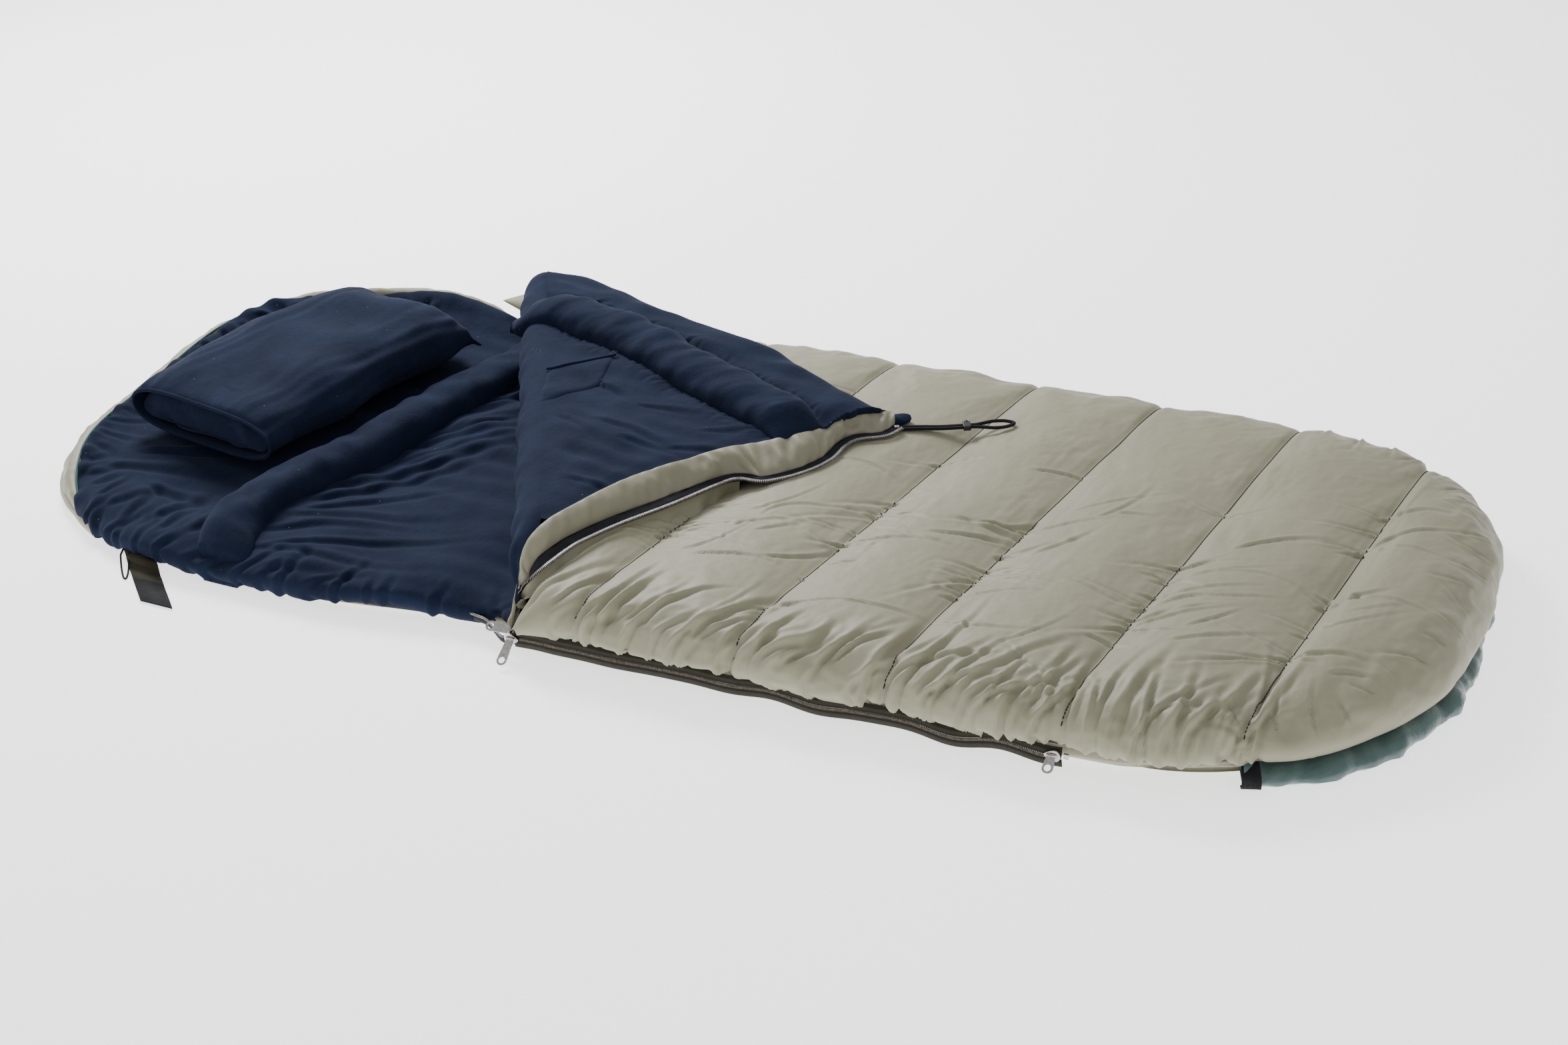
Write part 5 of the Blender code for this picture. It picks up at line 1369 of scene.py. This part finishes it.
def pillow_places(stations, inset, count, around):
    rows = spline([(a * 0.24, w, h) for a, w, h in stations], count)
    angles = np.linspace(0, 2 * math.pi, around, endpoint=False)
    cosine, sine = np.cos(angles), np.sin(angles)
    half_width, half_height = 0.155, (PILLOW_HIGH.z - PILLOW_LOW.z) / 2
    across = (rows[:, 1:2] * half_width - inset) * np.sign(cosine) * np.abs(cosine) ** 0.50
    tall = rows[:, 2:3] * half_height
    rise = (tall - inset).clip(0.002) * np.sign(sine) * np.abs(sine) ** 0.85
    rise = np.where(sine < 0, rise * 0.96, rise)
    along = np.repeat(rows[:, :1], around, axis=1)
    turn = np.array([[math.cos(PILLOW_TURN), -math.sin(PILLOW_TURN)], [math.sin(PILLOW_TURN), math.cos(PILLOW_TURN)]])
    plan = PILLOW_CENTRE + np.stack([across, along], axis=-1) @ turn.T
    right = 0.5 + 0.5 * np.sign(cosine) * np.abs(cosine)
    far_end = smooth(0.2, 1.0, rows[:, :1] / 0.24)
    plan[:, :, 0] += 0.030 * (1 - smooth(-0.9, 0.4, rows[:, :1])) * right + 0.036 * far_end * (1 - right)
    height = PILLOW_LOW.z + 0.0005 + half_height * (0.10 + 0.90 * rows[:, 2:3]) + rise
    height = height + (1 - rows[:, 2:3]).clip(0) * half_height * 0.30
    return np.concatenate([plan, height[:, :, None]], axis=-1), cosine, sine


def build_pillow():
    count, around = ((120, 132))
    places, cosine, sine = pillow_places(PILLOW_STATIONS, 0.0, count, around)
    inner, _, _ = pillow_places(PILLOW_STATIONS[:3], 0.0035, 14, around)
    lip = places[0] * 0.5 + inner[0] * 0.5
    lip[:, 1] -= 0.0022
    whole = np.vstack([inner[::-1].reshape(-1, 3), lip, places.reshape(-1, 3)])
    rows = 14 + 1 + count
    faces = grid_faces(rows, around, wrap=True).tolist()
    faces.append([(rows - 1) * around + j for j in range(around)])
    case = mesh_object("pillow_case_fleece", whole, faces)
    bm = bmesh.new()
    bm.from_mesh(case.data)
    bmesh.ops.recalc_face_normals(bm, faces=bm.faces)
    bm.to_mesh(case.data)
    bm.free()
    case.data.shade_smooth()
    shape = coordinates(case)
    station = np.concatenate([np.repeat(-1.0, 15 * around), np.repeat(np.linspace(-1, 1, count), around)])
    fade = smooth(-1.0, -0.93, station)
    turned = np.column_stack([shape[:, 0] * 0.98 - shape[:, 1] * 0.2, shape[:, 0] * 0.2 + shape[:, 1] * 0.98,
                              shape[:, 2]])
    rough = 0.0030 * ripple(turned, 0.13, 101) + 0.0010 * ripple(turned, 0.024, 102, stretch=(1.0, 0.18, 1.0))
    rough += 0.0020 * ripple(turned, 0.035, 103) * smooth(0.70, 1.0, station)
    set_coordinates(case, shape + normals(case) * (rough * fade)[:, None])
    finish_piece(case, FLEECE, "pillow", "navy_fleece", "pillow_case")
    pad_stations = [(-0.955, 0.80, 0.14), (-0.950, 0.90, 0.40), (-0.92, 0.93, 0.62), (-0.80, 0.95, 0.80),
                    (-0.5, 0.97, 0.90), (0.0, 0.97, 0.94), (0.5, 0.96, 0.86), (0.80, 0.92, 0.60), (0.90, 0.85, 0.30)]
    places, _, _ = pillow_places(pad_stations, 0.007, 60, 64)
    faces = grid_faces(60, 64, wrap=True).tolist() + [list(range(64))[::-1], [59 * 64 + j for j in range(64)]]
    pad = mesh_object("pillow_pad_fleece", places.reshape(-1, 3), faces)
    bm = bmesh.new()
    bm.from_mesh(pad.data)
    bmesh.ops.recalc_face_normals(bm, faces=bm.faces)
    bm.to_mesh(pad.data)
    bm.free()
    shape = coordinates(pad)
    set_coordinates(pad, shape + normals(pad) * (0.0016 * ripple(shape, 0.04, 111))[:, None])
    pad.data.shade_smooth()
    finish_piece(pad, FLEECE, "pillow", "navy_fleece", "pillow_pad")
    rim, cosine, sine = pillow_places(PILLOW_STATIONS[:2], -0.0008, 30, 96)
    piping = tube("pillow_case_piping", rim[1], 0.0017, 8, closed=True)
    finish_piece(piping, FLEECE, "pillow", "navy_fleece", "pillow_piping")


# --- cords, strap and pocket ---------------------------------------------------------------------------------

def build_cords():
    low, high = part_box("neck_drawcord")
    lock_low, lock_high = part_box("cord_lock_body")
    across = np.array([0.877, 0.481, 0.0])
    side = np.array([-0.481, 0.877, 0.0])
    start = np.array([0.214, 0.170, (low.z + high.z) / 2])
    half = 0.0034
    legs = []
    for sign in (1, -1):
        legs.append([start + across * t + side * (sign * half + bend) + [0, 0, lift]
                     for t, bend, lift in ((-0.012, 0.0, 0.004), (0.02, 0.0015, 0.002), (0.05, 0.001, 0.0),
                                           (0.080, 0.0, 0.0), (0.104, 0.0, 0.0))])
    loop = [start + across * t + side * b for t, b in
            ((0.118, 0.0070), (0.135, 0.0115), (0.153, 0.0095), (0.165, 0.0), (0.153, -0.0095), (0.135, -0.0115),
             (0.118, -0.0070))]
    path = spline(legs[0] + loop + legs[1][::-1], 420)
    twist = 1.0 + 0.05 * np.sin(np.linspace(0, 420, 420) * 2.2)
    cord = tube("neck_cord", path, 0.0027 * twist, 12)
    finish_piece(cord, BLACK_WEB, "flap", "black_webbing", "neck_drawcord")
    root = np.array([-0.836, -0.4335, 0.0])
    reach, spread = np.array([0.034, -0.046, 0.0]), np.array([0.012, 0.004, 0.0])
    angles = np.linspace(0, math.pi, 80)
    loop = [root + reach * math.sin(a) + spread * (1 - math.cos(a)) / 2
            + [0, 0, 0.0016 + 0.010 * (1 - math.sin(a)) ** 2] for a in angles]
    sewn_in = np.array([-0.012, 0.030, 0.003])
    loop = [loop[0] + sewn_in, *loop, loop[-1] + sewn_in]
    elastic = tube("elastic_cord_loop", np.array(loop), 0.0016, 10)
    finish_piece(elastic, BLACK_WEB, "root", "black_webbing", "elastic_loop")


def build_strap():
    root = np.array([-0.790, -0.4400, 0.0])
    hem = np.array([0.0600, -0.0020, 0.0])
    reach = np.array([0.088, -0.086, 0.0])

    def band(name, first, last, count):
        shares = np.linspace(first, last, count)
        lift = 0.0056 * np.clip(1 - shares / 0.12, 0, 1.4) ** 2 + 0.0012
        lift = lift + 0.0010 * (1 + np.sin(shares * 9.0)) * smooth(0.1, 0.3, shares)
        middle = root + reach * shares[:, None] + np.array([0, 0, 1.0]) * lift[:, None]
        return ribbon(name, middle - hem / 2, middle + hem / 2, 0.0016)

    sewn = band("strap_sewn_root", -0.40, 0.03, 16)
    finish_piece(sewn, OLIVE_WEB, "root", "tape_olive")
    strap = band("strap_olive_webbing", 0.0, 0.362, 24)
    finish_piece(strap, OLIVE_WEB, "side_strap", "tape_olive", "strap_webbing")
    end = band("strap_black_fastener", 0.362, 1.0, 36)
    finish_piece(end, BLACK_WEB, "side_strap", "black_webbing", "strap_fastener")


def build_inner_pocket():
    """The slit pocket's patch, its piped lip, its seam and the bar tacks at the slit's ends."""
    corners = [(0.385, -0.012), (0.444, 0.086), (0.536, 0.112), (0.505, 0.004)]
    rows, columns = 24, 24
    s, t = np.meshgrid(np.linspace(0, 1, rows), np.linspace(0, 1, columns), indexing="ij")
    a, b, c, d = (np.array(p) for p in corners)
    plan = ((1 - s)[..., None] * ((1 - t)[..., None] * a + t[..., None] * b)
            + s[..., None] * ((1 - t)[..., None] * d + t[..., None] * c)).reshape(-1, 2)
    edge = np.minimum.reduce([s * 1.0, t * 2, (1 - t) * 2]).ravel()
    height = LINING_Z - 0.0015 + 0.0048 * np.clip(edge / 0.12, 0, 1) ** 0.5
    places = fold_place(plan[:, 0], plan[:, 1], height)
    places[:, 2] += soft_fleece_height(places, 41)
    patch = face_up(mesh_object("inner_pocket_patch", places, grid_faces(rows, columns)))
    subdivide(patch)
    finish_piece(patch, FLEECE, "flap", "navy_fleece", "inner_pocket")

    def on_lining(points, lift, count=60):
        curve = spline(points, count)
        places = fold_place(curve[:, 0], curve[:, 1], LINING_Z + lift)
        places[:, 2] += soft_fleece_height(places, 41)
        return places

    lip = tube("inner_pocket_lip", on_lining([(0.506, 0.002), (0.520, 0.050), (0.538, 0.112)], 0.0042), 0.0022, 10)
    finish_piece(lip, FLEECE, "flap", "navy_fleece")
    for number, point in enumerate(((0.538, 0.112), (0.446, 0.088))):
        ends = [point, (point[0] + 0.006, point[1] + 0.002)]
        tack = tube(f"inner_pocket_tack_{number + 1}", on_lining(ends, 0.0052, 8), 0.0013, 8)
        finish_piece(tack, BLACK_WEB, "flap", "black_webbing")


# --- the bedchair pockets ------------------------------------------------------------------------------------

def build_pockets():
    """The sheets under both ends that slip over a bedchair, with the elastic at each mouth."""
    for end, sign, material, slot in (("foot", 1, TEAL, "teal_nylon"), ("head", -1, OLIVE, "olive_shell")):
        mouth = abs(POCKET_MOUTH_X) - 0.004

        def section(number):
            x, y = OUTLINE[number]
            past = float(smooth(mouth, mouth + 0.10, abs(x)))
            if sign > 0:
                corner = float(smooth(mouth - 0.01, mouth + 0.05, x) * smooth(0.22, -0.12, y))
                bulge, top, tuck = 0.004 + 0.018 * corner, 0.034, 0.004
            else:
                bulge = 0.002 + 0.012 * float(head_bulge(x, y)) * past
                top, tuck = 0.026 + 0.010 * float(head_bulge(x, y)), 0.0
            return [(0.022 + tuck, top - 0.002), (0.008 + tuck, top), (-bulge * 0.55, top * 0.80),
                    (-bulge, top * 0.48), (-0.6 * bulge, 0.007), (0.012, 0.0014), (0.075, 0.0006), (0.16, 0.0006)]

        inside_mouth = np.nonzero(sign * OUTLINE[:, 0] > mouth)[0]
        first, last = inside_mouth.min(), inside_mouth.max()
        sheet = edge_sweep(f"{end}_pocket_sheet", first, last, section, 4, 30)
        places = coordinates(sheet)
        found, _ = nearest_edge(places[:, :2])
        arc = found * (6.0 / len(OUTLINE))
        tall = smooth(0.002, 0.012, places[:, 2])
        field = np.column_stack([arc + places[:, 2] * 1.2, places[:, 2] * 0.6, places[:, 2] * 0])
        amount = 0.0032 if sign > 0 else 0.0008
        gather = amount * ripple(field, 0.085, 121) + 0.35 * amount * ripple(field, 0.030, 122)
        set_coordinates(sheet, places + normals(sheet) * (gather * tall)[:, None])
        finish_piece(sheet, material, "root", slot, f"{end}_pocket")
        ends = [OUTLINE[first], OUTLINE[last]]
        y = max(abs(ends[0][1]), abs(ends[1][1])) - 0.016
        x = sign * (mouth + 0.001)
        band = ribbon(f"{end}_pocket_mouth_elastic",
                      np.array([(x, t, 0.0012) for t in np.linspace(-y, y, 80)]),
                      np.array([(x + sign * 0.012, t, 0.0012) for t in np.linspace(-y, y, 80)]), 0.0012)
        finish_piece(band, BLACK_WEB, "root", "black_webbing", f"{end}_pocket_elastic")
        if sign > 0:
            hem = []
            for number in (last, last - 16):
                section_points = spline(section(number)[:6], 30) + [-0.0045, 0]
                plan = OUTLINE[number] + section_points[:, :1] * INWARD[number]
                hem.append(np.column_stack([plan, section_points[:, 1]]))
            edge = ribbon("foot_pocket_side_elastic", hem[0], hem[1], 0.0014)
            finish_piece(edge, BLACK_WEB, "root", "black_webbing")


def build_bindings():
    """The narrow tape over the seam at each end."""
    for end, sign, material, slot, radius in (("head", -1, TEAL_BINDING, "teal_nylon", 0.0018),
                                              ("foot", 1, OLIVE_DARK, "tape_olive", 0.0035)):
        around = np.nonzero((sign * OUTLINE[:, 0] > 0.62) & ((OUTLINE[:, 0] > 0) | (OUTLINE[:, 0] < -0.99)
                                                             | (OUTLINE[:, 1] > 0)))[0][::6]
        plan = OUTLINE[around]
        lift = rim_lift(plan) if sign < 0 else np.zeros(len(plan))
        bulge = head_bulge(plan[:, 0], plan[:, 1])
        inset = 0.010 + 0.015 * bulge if sign < 0 else np.full(len(plan), 0.014)
        height = 0.036 + 0.013 * bulge + 0.98 * lift if sign < 0 else 0.0360 + lift
        plan = plan + INWARD[around] * inset[:, None]
        path = np.column_stack([plan, height])
        obj = tube(f"{end}_rim_binding", path, radius, 10)
        finish_piece(obj, material, "root", slot, f"{end}_seam_binding")


def build_cover_lining():
    """The navy inside of the cover, which shows through the bag's mouth."""
    section = profile([(0.020, 0.046), (0.016, 0.056), (0.040, 0.070), (0.09, 0.075), (0.12, 0.0755)])
    cell = 0.02
    rows = np.arange(-HALF_WIDTH - 0.03, HALF_WIDTH + 0.03 + cell, cell)
    columns = np.arange(-0.60, HALF_LENGTH + 0.03, cell)
    y, x = np.meshgrid(rows, columns, indexing="ij")
    places, along, keep = wrap_over_edge(np.column_stack([x.ravel(), y.ravel()]), section, cell)
    keep &= fold_coordinates(places)[1] > -cell * 0.5
    obj, _ = kept_mesh("cover_lining_fleece", places, grid_faces(len(rows), len(columns)), keep)
    face_up(obj)
    shape = coordinates(obj)
    shape[:, 2] += 0.002 * ripple(shape, 0.12, 141)
    set_coordinates(obj, shape)
    obj.data.flip_normals()
    finish_piece(obj, FLEECE, "root", "navy_fleece", "cover_lining")


def build_flap_shell():
    """The olive underside of the flap, and the narrow fold of shell that joins it to the cover."""
    seam = spline(GUARD_SEAM[5:], 200)[:, :2]
    neck = spline(NECK_EDGE, 200)
    polygon = np.vstack([[(0.018, 0.004)], seam + [0.004, 0.0], neck[1:] - [0.004, 0.004], [(0.940, 0.004)]])
    cell = 0.014
    v, u = np.meshgrid(np.arange(0.0, 0.56, cell), np.arange(0.0, 0.97, cell), indexing="ij")
    plan, keep, depth = trim_grid(np.column_stack([u.ravel(), v.ravel()]), polygon, cell)
    places = fold_place(plan[:, 0], plan[:, 1], 0.1275 + 0.004 * (1 - smooth(0, 0.02, depth)))
    obj, _ = kept_mesh("flap_shell_fabric", places, grid_faces(*v.shape), keep)
    face_up(obj)
    obj.data.flip_normals()
    finish_piece(obj, OLIVE, "flap", "olive_shell", "flap_shell")
    along = np.linspace(0.0, 0.93, 160)
    sides = 10
    angles = np.radians(np.linspace(-92, 92, sides))
    radius = 0.0045
    a = np.repeat(along, sides)
    cosine, sine = np.tile(np.cos(angles), len(along)), np.tile(np.sin(angles), len(along))
    places = fold_place(a, 0.003 - cosine * radius, FOLD_START[2] + sine * radius)
    crease = mesh_object("fold_shell_crease", places, grid_faces(len(along), sides))
    finish_piece(crease, OLIVE, None, "olive_shell",
                 blend=("root", "flap", (*FOLD_START[:2], FOLD_START[2] - radius),
                        (*FOLD_START[:2], FOLD_START[2] + radius)))


def build_tab():
    """The padded navy end of the flap's neck, with the cord's exit."""
    low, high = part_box("zip_end_tab")
    centre = (low + high) / 2
    rows, around = 26, 40
    along = np.linspace(-1, 1, rows)
    angles = np.linspace(0, 2 * math.pi, around, endpoint=False)
    size = (0.0190, 0.0130, 0.0062)
    places = []
    for s in along:
        taper = (1 - abs(s) ** 3.0) ** 0.5 + 0.02
        for angle in angles:
            places.append((size[0] * s, size[1] * taper * math.copysign(abs(math.cos(angle)) ** 0.7, math.cos(angle)),
                           size[2] * taper * math.copysign(abs(math.sin(angle)) ** 0.8, math.sin(angle))))
    places = np.array(places)
    turn = np.array([FOLD_ACROSS, FOLD_ALONG, [0, 0, 1.0]])
    places = places @ turn + [centre.x, centre.y, centre.z + 0.003]
    faces = grid_faces(rows, around, wrap=True).tolist() + [list(range(around))[::-1],
                                                            [(rows - 1) * around + j for j in range(around)]]
    tab = mesh_object("neck_end_tab", places, faces)
    bm = bmesh.new()
    bm.from_mesh(tab.data)
    bmesh.ops.recalc_face_normals(bm, faces=bm.faces)
    bm.to_mesh(tab.data)
    bm.free()
    tab.data.shade_smooth()
    shape = coordinates(tab)
    set_coordinates(tab, shape + normals(tab) * (0.0008 * ripple(shape, 0.02, 151))[:, None])
    finish_piece(tab, FLEECE, "flap", "navy_fleece", "zip_end_tab")


def plate_with_hole(name, outline, hole, place, axes, thickness):
    """A flat plate with an optional round hole. Its outline lies in the plane of the first two axes."""
    count = len(outline)
    along, across, normal = (np.array(axis, float) for axis in axes)
    vertices, faces = [], []
    for side in (-0.5, 0.5):
        for shrink, lift in ((0.0, 0.30), (0.0005, 0.5)):
            ring = outline * (1 - shrink / np.linalg.norm(outline, axis=1).max())
            for x, y in ring:
                vertices.append(place + along * x + across * y + normal * thickness * side * 2 * lift)
        centre, radius = hole
        for angle in np.linspace(0, 2 * math.pi, count, endpoint=False):
            x, y = centre[0] + radius * math.cos(angle), centre[1] + radius * math.sin(angle)
            vertices.append(place + along * x + across * y + normal * thickness * side)
    for j in range(count):
        k = (j + 1) % count
        for first in (0, count, 3 * count, 4 * count):
            faces.append((first + j, first + k, first + count + k, first + count + j))
        faces.append((j, k, 3 * count + k, 3 * count + j))
        faces.append((2 * count + j, 2 * count + k, 5 * count + k, 5 * count + j))
    obj = mesh_object(name, vertices, faces)
    bm = bmesh.new()
    bm.from_mesh(obj.data)
    bmesh.ops.recalc_face_normals(bm, faces=bm.faces)
    bm.to_mesh(obj.data)
    bm.free()
    obj.data.shade_flat()
    return obj


def tab_outline(root_width, end_width, length, count=72):
    """A pull's outline: narrow and square at its root, wide and round at its end. It starts beside the hole."""
    end = end_width / 2
    arc = [(length - end + end * math.cos(a), end * math.sin(a)) for a in np.linspace(-1.45, 1.45, 30)]
    points = [(-0.002, -root_width / 2), *arc, (-0.002, root_width / 2), (-0.002, -root_width / 2)]
    outline = resample(np.array(points), count * 4)[:-1]
    centre = np.array([length - end, 0.0])
    angles = np.arctan2(*(outline - centre).T[::-1])
    picked = []
    for target in np.linspace(0, 2 * math.pi, count, endpoint=False):
        gap = np.abs((angles - target + math.pi) % (2 * math.pi) - math.pi)
        picked.append(outline[np.argmin(gap)])
    return np.array(picked), centre


def build_pulls():
    droop = math.radians(35)
    near = np.array([0, -math.cos(droop), -math.sin(droop)])
    far = np.array([0, math.cos(droop), -math.sin(droop)])
    leaning = (0, math.cos(droop), math.sin(droop))
    for name, pivot, reach, pin, length in (
            ("outer_pull", (-0.131, -0.4602, 0.032), near, (1, 0, 0), 0.042),
            ("inner_pull", (-0.135, -0.4482, 0.0375), np.array([-1.0, 0, 0]), leaning, 0.042),
            ("bottom_pull", (0.680, -0.4602, 0.032), near, (1, 0, 0), 0.026),
            ("far_pull", (-0.535, 0.4602, 0.032), far, (1, 0, 0), 0.042)):
        outline, centre = tab_outline(0.0110, 0.0160, length)
        normal = np.cross(reach, pin)
        tab = plate_with_hole(f"{name}_tab", outline, (centre, 0.0048), np.array(pivot) + reach * 0.001,
                              (reach, pin, normal), 0.0017)
        finish_piece(tab, SILVER, name, "zip_metal", name)


def build_sliders():
    """Teardrop slider bodies, wide where the chain opens, with a bridge for the pull."""
    half_turn = np.linspace(0, math.pi, 24)
    for name, side, widest in (("main_slider", -1, -1), ("bottom_slider", -1, 1), ("far_slider", 1, -1)):
        low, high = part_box(name)
        centre_x = {"main_slider": -0.131, "bottom_slider": 0.680, "far_slider": -0.535}[name]
        place = np.array([centre_x, side * abs(ZIP_Y), ZIP_Z])
        angles = np.linspace(0, 2 * math.pi, 64, endpoint=False)
        reach = 0.0112 * np.cos(angles)
        width = 0.0078 * np.sin(angles) * (1 - 0.42 * np.cos(angles))
        outline = np.column_stack([-widest * reach, width])
        pieces = []
        for depth in (0.0032, -0.0032):
            pieces.append(plate_with_hole(f"{name}_plate", outline, (np.array([0.0, 0.0]), 0.0004),
                                          place + [0, side * depth, 0], ((1, 0, 0), (0, 0, 1), (0, 1, 0)), 0.0022))
        bridge = np.array([(0.0062 * math.cos(a), side * (0.0040 + 0.0036 * math.sin(a)), 0.0020) for a in half_turn])
        pieces.append(tube(f"{name}_bridge", place + bridge, 0.0014, 10))
        post = np.array([(widest * 0.0075, side * t, 0.0) for t in np.linspace(-0.0030, 0.0030, 6)])
        pieces.append(tube(f"{name}_post", place + post, 0.0013, 10))
        if name == "main_slider":
            inner = np.array([(-0.004, -t, 0.0048) for t in np.linspace(-0.0100, -0.0030, 8)])
            pieces.append(tube(f"{name}_inner_pin", place + inner, 0.0009, 8))
        for number, piece in enumerate(pieces):
            finish_piece(piece, SILVER, name, "zip_metal", *([name] if number == 0 else []))


def dress_hardware():
    """Give the CAD metal and plastic pieces their finished materials."""
    for name in ("zip_bottom_stop", "far_zip_bottom_stop", "zip_top_stop", "cord_lock_spring"):
        dress(frame["nodes"][name], SILVER)
    for name in ("cord_lock_body", "cord_lock_plunger"):
        dress(frame["nodes"][name], PLASTIC)


def dress(obj, material):
    for slot in obj.material_slots:
        slot.material = material


def stage_scene():
    floor_size = 14.0
    floor = mesh_object("studio_floor", np.array([(-floor_size, -floor_size, -0.0005), (floor_size, -floor_size, -0.0005),
                                                  (floor_size, floor_size, -0.0005), (-floor_size, floor_size, -0.0005)]),
                        [[0, 1, 2, 3]])
    material, nodes, links, shader, coords = new_material("studio_floor")
    shader.inputs["Base Color"].default_value = (0.86, 0.86, 0.86, 1)
    shader.inputs["Roughness"].default_value = 0.9
    shader.inputs["Emission Color"].default_value = (1.0, 1.0, 1.0, 1)
    shader.inputs["Emission Strength"].default_value = 1.6
    floor.data.materials.append(material)
    world = bpy.data.worlds.new("studio")
    world.use_nodes = True
    world.node_tree.nodes["Background"].inputs["Color"].default_value = (1.0, 1.0, 1.0, 1)
    world.node_tree.nodes["Background"].inputs["Strength"].default_value = 0.62
    bpy.context.scene.world = world
    lights = (("key", (-2.2, 1.7, 2.4), 1.5, 175), ("fill", (1.8, -2.8, 2.4), 3.0, 10))
    for name, place, size, power in lights:
        data = bpy.data.lights.new(name, "AREA")
        data.shape = "DISK"
        data.size = size
        data.energy = power
        light = bpy.data.objects.new(name, data)
        light.location = place
        light.rotation_euler = (-Vector(place)).to_track_quat("-Z", "Y").to_euler()
        bpy.context.scene.collection.objects.link(light)
    camera_data = bpy.data.cameras.new("camera")
    camera_data.sensor_width = 36.0
    camera_data.lens = 62.58
    camera = bpy.data.objects.new("camera", camera_data)
    forward = Vector((-0.389127, 0.787800, -0.477443)).normalized()
    right = Vector((0.905326, 0.422811, -0.040206)).normalized()
    up = right.cross(forward)
    turn = Matrix((right, up, -forward)).transposed()
    camera.matrix_world = Matrix.Translation((1.69144, -3.26076, 2.00102)) @ turn.to_4x4()
    bpy.context.scene.collection.objects.link(camera)
    bpy.context.scene.camera = camera


build_cover()
build_cover_lining()
build_base_lining()
build_base_shell()
build_flap_shell()
build_flap_lining()
build_fold()
build_rolls()
build_guard()
build_flap_zip()
build_zip_gusset()
build_shell_corner()
build_side_zips()
build_pillow()
build_cords()
build_strap()
build_inner_pocket()
build_pockets()
build_bindings()
build_tab()
build_pulls()
build_sliders()
dress_hardware()
stage_scene()
